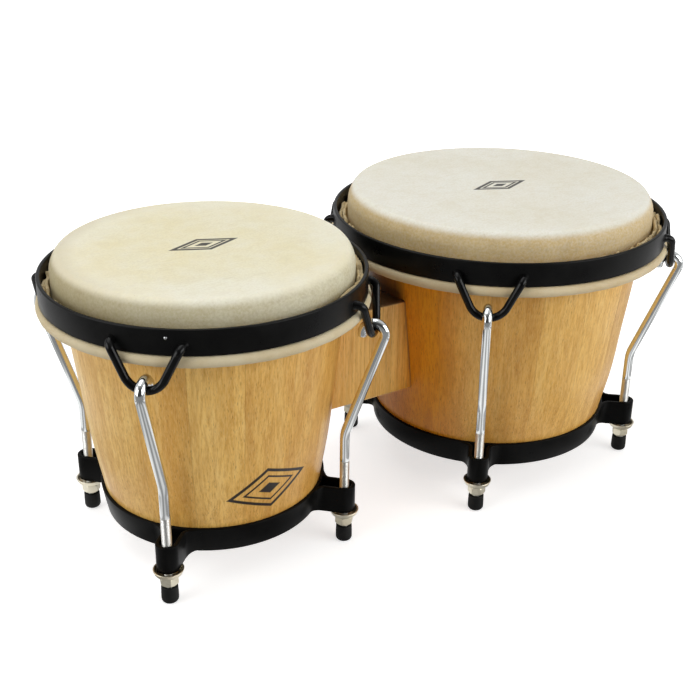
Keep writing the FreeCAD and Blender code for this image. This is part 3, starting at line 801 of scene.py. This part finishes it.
# --- wooden shells ---------------------------------------------------------------
def smooth_through(points, steps):
    """A Catmull-Rom curve in (r, z) through the points."""
    ends = [points[0] * 2 - points[1]] + points + [points[-1] * 2 - points[-2]]
    out = [points[0]]
    for a, b, c, d in zip(ends, ends[1:], ends[2:], ends[3:]):
        for k in range(1, steps + 1):
            t = k / steps
            out.append(0.5 * (b * 2 + (c - a) * t + (a * 2 - b * 5 + c * 4 - d) * t * t
                              + (b * 3 - a - c * 3 + d) * t ** 3))
    return out


def seat_radius(drum, z):
    """The outside of the wall where it sits in the bottom ring's taper."""
    low, high = drum.ring_radii
    share = (z - RING_BOTTOM_Z) / (drum.ring_top_z - RING_BOTTOM_Z)
    return low + (high - low) * share - RING_THICKNESS - 0.05 * MM


def shell_outside(drum, grow=0.0):
    """The outside of the wall, bottom to top, in (r, z)."""
    knots = [Vector((seat_radius(drum, drum.ring_top_z) + grow, drum.ring_top_z))]
    for r, z in zip(drum.shell_radii, SHELL_HEIGHTS):
        knots.append(Vector((r + grow, z)))
    knots.append(Vector((drum.shell_top_radius + grow, drum.shell_top_z - BEARING_ROUND)))
    bottom = Vector((seat_radius(drum, SHELL_BOTTOM_Z) + grow, SHELL_BOTTOM_Z))
    return [bottom] + smooth_through(knots, 7)


def shell(drum):
    """Coopered staves with a hair-fine groove at each joint and the spot faces of the bolts."""
    outside = shell_outside(drum)
    top_z = drum.shell_top_z
    inner_top = Vector((drum.shell_top_radius - WALL, top_z))
    inner_bottom = Vector((seat_radius(drum, SHELL_BOTTOM_Z) - WALL, SHELL_BOTTOM_Z))
    crown = [p for p in reversed(shoulder(drum, SKIN + 0.06 * MM))
             if inner_top.x + 0.3 * MM < p.x < drum.shell_top_radius - 0.2 * MM]
    inside = [inner_top.lerp(inner_bottom, k / 8) for k in range(9)]
    inside[0] = inside[0] + Vector((0.3 * MM, 0))
    inside.insert(1, inner_top + Vector((0, -0.3 * MM)))
    foot = [inner_bottom + Vector((0.5 * MM, 0)), outside[0] - Vector((0.6 * MM, 0))]
    inside[-1] = inside[-1] + Vector((0, 0.5 * MM))
    outline = outside + crown + inside + foot
    outline[0] = outline[0] + Vector((0, 0.6 * MM))
    split = len(outside) + len(crown)
    verts, angles = [], []
    shares = (-0.5, -0.4955, -0.485, -0.4, -0.25, -0.1, 0.1, 0.25, 0.4, 0.485, 0.4955)
    for k in range(drum.staves):
        for s in shares:
            depth = 0.05 * MM if s == -0.5 else 0.0
            angles.append(((k + s) * TAU / drum.staves, depth))
    for a, depth in angles:
        for i, p in enumerate(outline):
            r = p.x - depth if i < split else p.x + depth
            verts.append((drum.x + r * math.cos(a), r * math.sin(a), p.y))
    faces = grid_faces(len(angles), len(outline))
    obj = make_object(drum.name + "_staves", verts, faces, SHELL_WOOD[drum.name], 30)
    washers_low, washers_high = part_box("block_washers")
    for low, high in (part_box("block_bolt_lower"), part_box("block_bolt_upper")):
        height = (low.z + high.z) / 2
        spot_face(obj, drum, height, washers_low if drum is SMALL else washers_high)
    tidy_mesh(obj, 30)
    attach(obj, "root")
    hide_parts(drum.name + "_shell")


def spot_face(obj, drum, height, washer_edge):
    """A flat-bottomed recess in the inner wall that a bolt's washer sits in."""
    radius, depth = SPOT_FACE_RADIUS, 40 * MM
    share = (height - SHELL_BOTTOM_Z) / (drum.shell_top_z - SHELL_BOTTOM_Z)
    low = seat_radius(drum, SHELL_BOTTOM_Z) - WALL
    wall_r = low + (drum.shell_top_radius - WALL - low) * share + 1.6 * MM
    face_x = drum.x - drum.side * wall_r
    centre = face_x + drum.side * depth / 2
    verts = []
    sides = 48
    for x in (centre - depth / 2, centre + depth / 2):
        for j in range(sides):
            a = TAU * j / sides
            verts.append((x, radius * math.cos(a), height + radius * math.sin(a)))
    cut(obj, make_object("spot_face_tool", verts, tube_faces(2, sides), None))


def centre_block():
    """The wooden block: eased edges, both ends hollowed to the shells."""
    low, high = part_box("centre_block")
    wide, round_edge = high.y - low.y, 1.6 * MM
    outline = rounded_loop([(-wide / 2, low.z), (wide / 2, low.z), (wide / 2, high.z),
                            (-wide / 2, high.z)], round_edge, 4)
    verts = []
    stations = 25
    for k in range(stations):
        x = SMALL.x + (LARGE.x - SMALL.x) * k / (stations - 1)
        verts += [(x, p[0], p[1]) for p in outline]
    faces = tube_faces(stations, len(outline))
    obj = make_object("connecting_block", verts, faces, BLOCK_WOOD, 30)
    for drum in DRUMS:
        side = shell_outside(drum, 0.05 * MM)
        outline = [Vector((0, side[0].y))] + side + [Vector((0, side[-1].y))]
        tool = lathe("block_end_tool", outline, None, drum.turn(0), 220, closed=False)
        cut(obj, tool)
    tidy_mesh(obj, 30)
    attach(obj, "root")
    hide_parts("centre_block")


# --- steel rings -------------------------------------------------------------------
def ear_plan(drum):
    """Plan of a bent strip: off the ring, along one leg, round the rod and back."""
    ring = drum.ring_radii[0] - 1.1 * MM
    half = EAR_WIDTH / 2 - EAR_WALL / 2
    bend = EAR_FILLET + EAR_WALL / 2
    reach = ring + bend
    centre = Vector((math.sqrt(reach ** 2 - (half + bend) ** 2), half + bend))
    to_ring = math.atan2(-centre.y, -centre.x)
    steps = 12
    leg = []
    for k in range(steps + 1):
        a = to_ring + (-math.pi / 2 - to_ring) * k / steps
        leg.append(centre + Vector((math.cos(a), math.sin(a))) * bend)
    nose = []
    for k in range(25):
        a = math.pi / 2 - math.pi * k / 24
        nose.append(Vector((drum.rod_at + half * math.cos(a), half * math.sin(a))))
    return leg + nose + [Vector((p.x, -p.y)) for p in reversed(leg)]


def bottom_ring(drum):
    """The tapered band and its four ears, each a strip that spreads into the band."""
    low, high = drum.ring_radii
    z0, z1 = RING_BOTTOM_Z, drum.ring_top_z
    outline = rounded_loop([(low - RING_THICKNESS, z0), (low, z0), (high, z1),
                            (high - RING_THICKNESS, z1)], 0.55 * MM, 3)
    pieces = [lathe(drum.name + "_ring", outline, RING_BLACK, drum.turn(0), 192)]
    ear_top = z1 - 0.1 * MM
    slope = (high - low) / (z1 - z0)

    def fit(point, z):
        """Near the ring the strip follows the band's taper and its bottom edge."""
        near = max(0.0, min(1.0, 1 - (point.length - low) / (6 * MM)))
        below = max(0.0, min(1.0, (z0 + 3 * MM - z) / (3 * MM)))
        return near * slope * (z - z0), near * below * (z0 - drum.ear_bottom_z + 0.3 * MM)

    for angle in drum.lugs.values():
        pieces.append(strip("ear", ear_plan(drum), EAR_WALL / 2, drum.ear_bottom_z, ear_top,
                            RING_BLACK, drum.turn(angle), 0.6 * MM, fit))
    obj = join(drum.name + "_bottom_ring_with_ears", pieces)
    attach(obj, "root")
    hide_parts(drum.name + "_bottom_ring")


def rim(drum):
    """The counterhoop: a flat steel band with broken edges."""
    outer, inner = drum.rim_radius, drum.rim_radius - RIM_THICKNESS
    outline = rounded_loop([(inner, drum.rim_low), (outer, drum.rim_low),
                            (outer, drum.rim_high), (inner, drum.rim_high)], 0.75 * MM, 4)
    obj = lathe(drum.name + "_counterhoop", outline, RIM_BLACK, drum.turn(0), 224)
    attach(obj, drum.rim_set)
    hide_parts(drum.name + "_rim")
    if drum is SMALL:
        nib(drum)


def nib(drum):
    """A small weld spatter bead on the small rim's outside."""
    outline = [Vector((0, 0.55 * MM)), Vector((0.5 * MM, 0.42 * MM)), Vector((0.85 * MM, 0.1 * MM)),
               Vector((0.95 * MM, -0.4 * MM)), Vector((0, -0.4 * MM))]
    place = (drum.turn(NIB_ANGLE) @ Matrix.Translation((drum.rim_radius, 0, NIB_Z))
             @ Matrix.Rotation(math.pi / 2, 4, "Y"))
    obj = lathe("small_rim_weld_nib", outline, ZINC, place, 16, closed=False)
    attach(obj, drum.rim_set)


def loop_path(drum):
    """Centre line of a V loop: two feet at the rim, leaning legs and a rounded bottom."""
    w = LOOP_HALF_WIDTH
    drop = w / math.tan(LOOP_LEG_LEAN)
    bottom_z = HOOK_CENTRE_Z + HOOK_RADIUS - ROD_RADIUS - LOOP_WIRE_RADIUS - LOOP_CLEARANCE
    slope = LOOP_TOP_INSET / (LOOP_FOOT_Z - bottom_z)
    stretch = math.hypot(1, slope)
    half_tip = math.atan2(w, drop * stretch)
    tip_z = LOOP_FOOT_Z - drop
    tip_radius = (bottom_z - tip_z) * stretch / (1 / math.sin(half_tip) - 1)
    foot_r = math.sqrt(drum.rim_radius ** 2 - w ** 2) - 0.9 * MM
    top_r = drum.loop_at - LOOP_TOP_INSET
    points = [(foot_r, -w, LOOP_FOOT_Z), (top_r, -w, LOOP_FOOT_Z),
              (drum.loop_at + slope * (bottom_z - tip_z), 0, tip_z),
              (top_r, w, LOOP_FOOT_Z), (foot_r, w, LOOP_FOOT_Z)]
    return path_with_bends(points, (LOOP_CORNER_RADIUS, tip_radius, LOOP_CORNER_RADIUS),
                           6.0, 1.0 * MM)


def rim_loops(drum):
    """Four V loops of round bar, welded to the rim, in one piece with their weld fillets."""
    path = loop_path(drum)
    length = sum((b - a).length for a, b in zip(path, path[1:]))
    pieces = []
    for number, angle in enumerate(drum.lugs.values()):
        seed = drum.seed + number

        def radius(i, a, d):
            gap = min(d, length - d)
            flare = 0.8 * MM * math.exp(-(gap / (1.5 * MM)) ** 2)
            lump = 1 + 0.10 * math.sin(3 * a + seed) + 0.06 * math.sin(7 * a + 2 * seed)
            return LOOP_WIRE_RADIUS + flare * lump

        pieces.append(bar("loop", path, radius, BLACK_BAR, drum.turn(angle), 24, 0.2 * MM,
                          Vector((0, 0, 1))))
    obj = join(drum.name + "_v_loops", pieces)
    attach(obj, drum.rim_set)
    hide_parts(drum.name + "_rim_loops")


# --- skins ----------------------------------------------------------------------------
def lap_point(drum, degrees, radius):
    """A point round the lapped hoop's centre, in (r, z)."""
    a = math.radians(degrees)
    return Vector((drum.roll_at + radius * math.cos(a), drum.roll_z + radius * math.sin(a)))


def skin_outline(drum):
    """Both faces of the hide, from the middle of the head to the lap round the hoop."""
    head, r = drum.head_z, drum.collar_radius
    outer_bend, inner_bend = shoulder(drum), shoulder(drum, SKIN)
    flat = [Vector((r * k / 40, head)) for k in range(38)]
    flat = [p for p in flat if p.x < outer_bend[0].x - 1 * MM]
    outer = flat + outer_bend
    foot_z = drum.roll_z + 5.0 * MM
    last = outer[-1].y
    for k in range(1, 5):
        outer.append(Vector((r, last + (foot_z - last) * k / 4)))
    outer.append(lap_point(drum, 150, ROLL_RADIUS + 0.5 * MM))
    outer += [lap_point(drum, d, ROLL_RADIUS) for d in range(125, -190, -12)]
    inner = [Vector((p.x, head - SKIN)) for p in flat] + inner_bend
    last = inner[-1].y
    for k in range(1, 5):
        inner.append(Vector((r - SKIN, last + (foot_z - SKIN - last) * k / 4)))
    inner.append(lap_point(drum, 172, ROLL_RADIUS - 0.2 * MM))
    inner.append(lap_point(drum, 179, ROLL_RADIUS - 0.9 * MM))
    return outer, inner


def skin(drum):
    """Rawhide head, collar and lap."""
    outer, inner = skin_outline(drum)
    outline = outer + inner[::-1]
    split = len(outer)
    shoulder_r = shoulder(drum)[0].x
    lap_top = drum.roll_z + ROLL_RADIUS + 0.6 * MM

    def warp(r, z, a, i):
        if r < 1e-9:
            return r, z
        if z < lap_top:
            ripple = 0.10 * MM * wave(a, drum.seed, (7, 13, 29)) + 0.05 * MM * wave(
                a, drum.seed + 5, (61, 97))
            away = Vector((r - drum.roll_at, z - drum.roll_z))
            if i < split and away.length > 3.0 * MM:
                away = away * (1 + (ripple - 0.12 * MM) / ROLL_RADIUS)
            return drum.roll_at + away.x, drum.roll_z + away.y
        if r > shoulder_r:
            down = min(1.0, (drum.head_z - z) / (12 * MM))
            push = 0.28 * MM * wave(a, drum.seed + 3, (3, 5, 11)) - 0.25 * MM
            return r + push * down, z
        ripple = 0.035 * MM * wave(a, drum.seed + 9, (2, 3)) * (r / shoulder_r) ** 2
        return r, z - 0.04 * MM - abs(ripple)

    obj = lathe(drum.name + "_rawhide_head", outline, RAWHIDE[drum.name], drum.turn(0), 360,
                warp, smooth_angle=60)
    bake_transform(obj)
    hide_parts(drum.name + "_skin_head", drum.name + "_skin_collar")
    cut_edge(drum)


def cut_edge(drum):
    """The ragged cut end of the hide, in the channel between the collar and the rim."""
    gap = drum.rim_radius - RIM_THICKNESS - drum.collar_radius
    inner = hide_flap(drum, 0.30 * gap, 0.34 * gap, drum.rim_high - 4.0 * MM, 1.25 * MM, 0)
    outer = hide_flap(drum, 0.55 * gap, 0.70 * gap, drum.rim_high - 5.2 * MM, 1.05 * MM, 7)
    obj = join(drum.name + "_rawhide_cut_edge", [inner, outer])
    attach(obj, drum.rim_set)


def hide_flap(drum, low_off, top_off, top_z, thickness, shift):
    """One standing fold of hide with a torn, lumpy upper edge, lowest at the back left."""
    segments, rows = 600, 9
    start_z = drum.roll_z + 1.2 * MM
    highest = drum.rim_high - 3.3 * MM
    nearest = drum.collar_radius + thickness + 0.1 * MM
    farthest = drum.rim_radius - RIM_THICKNESS - thickness - 0.1 * MM
    verts = []
    for j in range(segments):
        a = TAU * j / segments
        cos_a, sin_a = math.cos(a), math.sin(a)
        spot = Vector((cos_a, sin_a, drum.seed * 0.13 + shift))
        worn = 2.6 * MM * max(0.0, math.cos(a - FLAP_WORN_ANGLE))
        step = 1.0 if noise.noise(spot * 9) > -0.05 else -0.8
        torn = 0.7 * step + 1.1 * noise.noise(spot * 22) + 0.7 * noise.noise(spot * 60)
        edge_z = min(top_z - worn + 1.3 * MM * torn, highest)
        wander = 1.2 * MM * noise.noise(spot * 13 + Vector((5, 0, 0)))
        thick = thickness * (0.85 + 0.3 * noise.noise(spot * 35))
        mid = []
        for k in range(rows):
            t = k / (rows - 1)
            lump = 0.5 * MM * noise.noise(spot * 30 + Vector((0, 0, 4 * t)))
            r = drum.collar_radius + low_off + (top_off - low_off) * t + (wander + lump) * t
            mid.append(Vector((min(max(r, nearest), farthest), start_z + (edge_z - start_z) * t)))
        ring = [Vector((p.x + thick, p.y)) for p in mid]
        tip = mid[-1]
        for lean, rise in ((0.75, 0.45), (0.0, 0.65), (-0.75, 0.45)):
            ring.append(Vector((tip.x + thick * lean, tip.y + thick * rise)))
        ring += [Vector((p.x - thick, p.y)) for p in reversed(mid)]
        verts += [(drum.x + p.x * cos_a, p.x * sin_a, p.y) for p in ring]
    faces = grid_faces(segments, len(verts) // segments)
    return make_object("hide_flap", verts, faces, CUT_HIDE[drum.name], 70)


# --- tension rods and what they carry ----------------------------------------------------
def rod_runs(drum):
    """The rod's threaded run and the rest of its line, in the radial plane."""
    foot = Vector((drum.rod_at, 0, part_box(drum.name + "_rod_front_left")[0].z))
    bend = Vector((drum.rod_at, 0, ROD_BEND_Z))
    hook = Vector((drum.loop_at, 0, HOOK_CENTRE_Z))
    to_hook = hook - bend
    lean = math.atan2(to_hook.x, to_hook.z) + math.asin(HOOK_RADIUS / to_hook.length)
    start = hook + Vector((math.cos(lean), 0, -math.sin(lean))) * HOOK_RADIUS
    thread_top = Vector((drum.rod_at, 0, THREAD_TOP_Z))
    line = path_with_bends([thread_top, bend, start], (ROD_BEND_RADIUS,), 2.5, 3 * MM)
    steps = 40
    for k in range(1, steps + 1):
        a = -lean + (math.pi + lean) * k / steps
        line.append(hook + Vector((math.cos(a), 0, math.sin(a))) * HOOK_RADIUS)
    line.append(line[-1] - Vector((0, 0, HOOK_TAIL - 0.7 * MM)))
    fine = THREAD_PITCH / 10
    count = int((THREAD_TOP_Z - foot.z) / fine)
    threaded = [foot.lerp(thread_top, k / count) for k in range(count)]
    return threaded, line


def tension_rod(drum, place, angle):
    """A hooked rod with a rolled thread on its lower run."""
    threaded, line = rod_runs(drum)
    threads = len(threaded)
    run_out = 1.6 * MM

    def radius(i, a, d):
        if i >= threads:
            return ROD_RADIUS
        z = threaded[i].z
        phase = (z / THREAD_PITCH + a / TAU) % 1.0
        tooth = min(1.0, max(0.0, abs(2 * phase - 1) * 1.35 - 0.18))
        fade = min(1.0, (THREAD_TOP_Z - z) / run_out, (d + 0.25 * MM) / run_out)
        return ROD_RADIUS - 0.03 * MM - THREAD_DEPTH * (1 - tooth) * fade

    name = f"{drum.name}_tension_rod_{place}"
    obj = bar(name, threaded + line, radius, CHROME, drum.turn(angle), 28, 0.7 * MM,
              Vector((0, 1, 0)), 50)
    obj.data.materials.append(THREAD)
    for face in obj.data.polygons:
        face.material_index = 1 if face.center.z < THREAD_TOP_Z else 0
    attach(obj, f"{drum.name}_rod_set_{place}")
    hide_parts(f"{drum.name}_rod_{place}")


def dish_washer(drum, place, angle):
    """A dished washer, its rolled edge up, under an ear."""
    node = f"{drum.name}_washer_{place}"
    low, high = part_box(node)
    radius = (high.x - low.x) / 2
    hole, thick = 3.4 * MM, 1.1 * MM
    outline = rounded_loop([(hole, low.z), (5.6 * MM, low.z), (7.9 * MM, low.z + 1.8 * MM),
                            (radius, high.z), (radius - thick, high.z),
                            (7.9 * MM - thick, low.z + 1.8 * MM + thick / 2),
                            (5.05 * MM, low.z + thick), (hole, low.z + thick)],
                           [0.3 * MM, 1.2 * MM, 2.2 * MM, 0.35 * MM, 0.3 * MM, 1.6 * MM, 0.8 * MM,
                            0.3 * MM], 4)
    place_at = drum.turn(angle) @ Matrix.Translation((drum.rod_at, 0, 0))
    obj = lathe(f"{drum.name}_cup_washer_{place}", outline, NICKEL, place_at, 64)
    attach(obj, "root")
    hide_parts(node)


def tuning_nut(drum, place, angle):
    """A hexagon nut, chamfered at both ends, with a countersunk bore."""
    node = f"{drum.name}_nut_{place}"
    low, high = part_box(node)
    flats, bore, chamfer = 10.0 * MM, 3.05 * MM, 0.9 * MM
    corner = flats / math.sqrt(3)
    tall = high.z - low.z
    levels = [0.0, 0.12, 0.3, 0.6, 1.0]
    zs = [v * chamfer for v in levels] + [tall - v * chamfer * 0.5 for v in reversed(levels)]
    limits = [corner - chamfer + v * chamfer for v in levels]
    limits += [corner - 0.45 * MM + v * 0.45 * MM for v in reversed(levels)]
    segments = 96
    place_at = drum.turn(angle) @ Matrix.Translation((drum.rod_at, 0, low.z))
    verts = []
    for j in range(segments):
        a = TAU * j / segments
        off = (a + math.pi / 6) % (math.pi / 3) - math.pi / 6
        flat = flats / 2 / math.cos(off)
        ring = [(min(flat, limit), z) for z, limit in zip(zs, limits)]
        ring += [(bore + 0.5 * MM, tall), (bore, tall - 0.5 * MM), (bore, 0.5 * MM),
                 (bore + 0.5 * MM, 0.0)]
        verts += [place_at @ Vector((r * math.cos(a), r * math.sin(a), z)) for r, z in ring]
    faces = grid_faces(segments, len(verts) // segments)
    obj = make_object(f"{drum.name}_tuning_nut_{place}", verts, faces, NICKEL, 24)
    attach(obj, f"{drum.name}_nut_{place}")
    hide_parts(node)


def rubber_foot(drum, place, angle):
    """A moulded cap with a soft lip, a parting line and a small flat to stand on."""
    node = f"{drum.name}_foot_{place}"
    low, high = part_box(node)
    radius, top, flat = (high.x - low.x) / 2, high.z, 2.4 * MM
    round_radius = radius - flat
    rod_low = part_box(f"{drum.name}_rod_{place}")[0].z
    bore = ROD_RADIUS + 0.05 * MM
    outline = [Vector((0, 0)), Vector((flat * 0.9, 0))]
    outline += arc((flat, round_radius), round_radius, -90, 0, 9)
    outline += [Vector((radius - 0.02 * MM, top * 0.55)),
                Vector((radius, top * 0.60)), Vector((radius - 0.05 * MM, top * 0.64)),
                Vector((radius - 0.15 * MM, top - 0.9 * MM))]
    outline += arc((radius - 0.85 * MM, top - 0.7 * MM), 0.7 * MM, 0, 90, 5)
    outline += [Vector((bore + 0.3 * MM, top)), Vector((bore, top - 0.3 * MM)),
                Vector((bore, rod_low)), Vector((0, rod_low - 0.05 * MM))]
    place_at = drum.turn(angle) @ Matrix.Translation((drum.rod_at, 0, 0))
    obj = lathe(f"{drum.name}_rubber_foot_{place}", outline, RUBBER, place_at, 48, closed=False,
                smooth_angle=50)
    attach(obj, f"{drum.name}_rod_set_{place}")
    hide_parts(node)


# --- what stays as the CAD made it ----------------------------------------------------------
def keep_cad_node(node, material, bevel):
    """The CAD node with a better material and broken edges."""
    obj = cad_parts[node]
    obj.data.materials.clear()
    obj.data.materials.append(material)
    if bevel:
        weld = obj.modifiers.new("weld", "WELD")
        weld.merge_threshold = MERGE_DISTANCE
        edge = obj.modifiers.new("bevel", "BEVEL")
        edge.width = bevel
        edge.segments = 2
        edge.limit_method = "ANGLE"
        edge.angle_limit = math.radians(40)


# --- camera, lights and floor ------------------------------------------------------------------
def camera():
    """The photograph's viewpoint: its azimuth, elevation, tilt, distance and lens."""
    azimuth, elevation, roll = math.radians(-32.52), math.radians(24.89), math.radians(0.75)
    distance, focal_px, image_px, sensor = 0.8001, 1154.3, 700, 36.0
    middle = (SMALL.x + LARGE.x) / 2
    target = Vector((middle + 0.01617, 0.03768, 0.077))
    back = Vector((math.sin(azimuth) * math.cos(elevation),
                   -math.cos(azimuth) * math.cos(elevation), math.sin(elevation)))
    right = (-back).cross(Vector((0, 0, 1))).normalized()
    up = right.cross(-back)
    right, up = (right * math.cos(roll) + up * math.sin(roll),
                 up * math.cos(roll) - right * math.sin(roll))
    data = bpy.data.cameras.new("camera")
    data.sensor_width = sensor
    data.lens = focal_px / image_px * sensor
    data.clip_start, data.clip_end = 0.05, 50
    obj = bpy.data.objects.new("camera", data)
    bpy.context.scene.collection.objects.link(obj)
    turn = Matrix((right, up, back)).transposed().to_4x4()
    obj.matrix_world = Matrix.Translation(target + back * distance) @ turn
    bpy.context.scene.camera = obj


def area_light(name, at, aim, size, power):
    """A rectangular softbox that the camera doesn't see."""
    data = bpy.data.lights.new(name, "AREA")
    data.shape = "RECTANGLE"
    data.size, data.size_y = size
    data.energy = power
    obj = bpy.data.objects.new(name, data)
    bpy.context.scene.collection.objects.link(obj)
    obj.location = at
    obj.rotation_euler = (Vector(aim) - Vector(at)).to_track_quat("-Z", "Y").to_euler()
    obj.visible_camera = False


def studio():
    """A white room that is dark on the camera's side, with a softbox above and one on each side."""
    world = bpy.data.worlds.new("studio")
    bpy.context.scene.world = world
    world.use_nodes = True
    tree = world.node_tree
    background = tree.nodes["Background"]
    background.inputs["Color"].default_value = rgb(1.0, 1.0, 1.0)
    way = tree.nodes.new("ShaderNodeTexCoord").outputs["Generated"]
    facing = tree.nodes.new("ShaderNodeVectorMath")
    facing.operation = "DOT_PRODUCT"
    tree.links.new(way, facing.inputs[0])
    facing.inputs[1].default_value = CAMERA_SIDE
    room = tree.nodes.new("ShaderNodeMapRange")
    room.interpolation_type = "SMOOTHSTEP"
    tree.links.new(facing.outputs["Value"], room.inputs["Value"])
    for value, socket in zip((0.0, 0.85) + ROOM_LIGHT, list(room.inputs)[1:]):
        socket.default_value = value
    strength = tree.nodes.new("ShaderNodeMapRange")
    tree.links.new(ray(tree, "Is Camera Ray"), strength.inputs["Value"])
    tree.links.new(room.outputs[0], strength.inputs["To Min"])
    strength.inputs["To Max"].default_value = 1.0
    tree.links.new(strength.outputs[0], background.inputs["Strength"])
    area_light("overhead", (-0.20, 0.30, 1.5), (0, 0, 0.1), (1.6, 1.2), 8)
    area_light("left", (-1.70, 0.05, 0.65), (-0.1, 0, 0.12), (1.5, 1.1), 15)
    area_light("right", (0.84, -1.48, 0.65), (0.1, 0, 0.12), (1.5, 1.1), 17.5)
    mesh = bpy.data.meshes.new("floor")
    reach = 12.0
    mesh.from_pydata([(-reach, -reach, 0), (reach, -reach, 0), (reach, reach, 0),
                      (-reach, reach, 0)], [], [(0, 1, 2, 3)])
    mesh.materials.append(floor_paint())
    floor = bpy.data.objects.new("floor", mesh)
    bpy.context.scene.collection.objects.link(floor)
    bpy.context.scene.view_settings.view_transform = "Standard"


# --- the whole pair -----------------------------------------------------------------------------
camera()
studio()
centre_block()
for drum in DRUMS:
    shell(drum)
    bottom_ring(drum)
    rim(drum)
    rim_loops(drum)
    skin(drum)
    keep_cad_node(drum.name + "_flesh_hoop", ZINC, 0)
    for place, angle in drum.lugs.items():
        tension_rod(drum, place, angle)
        dish_washer(drum, place, angle)
        tuning_nut(drum, place, angle)
        rubber_foot(drum, place, angle)
for node in ("block_bolt_lower", "block_bolt_upper", "block_nuts", "block_washers"):
    keep_cad_node(node, ZINC, 0.25 * MM)
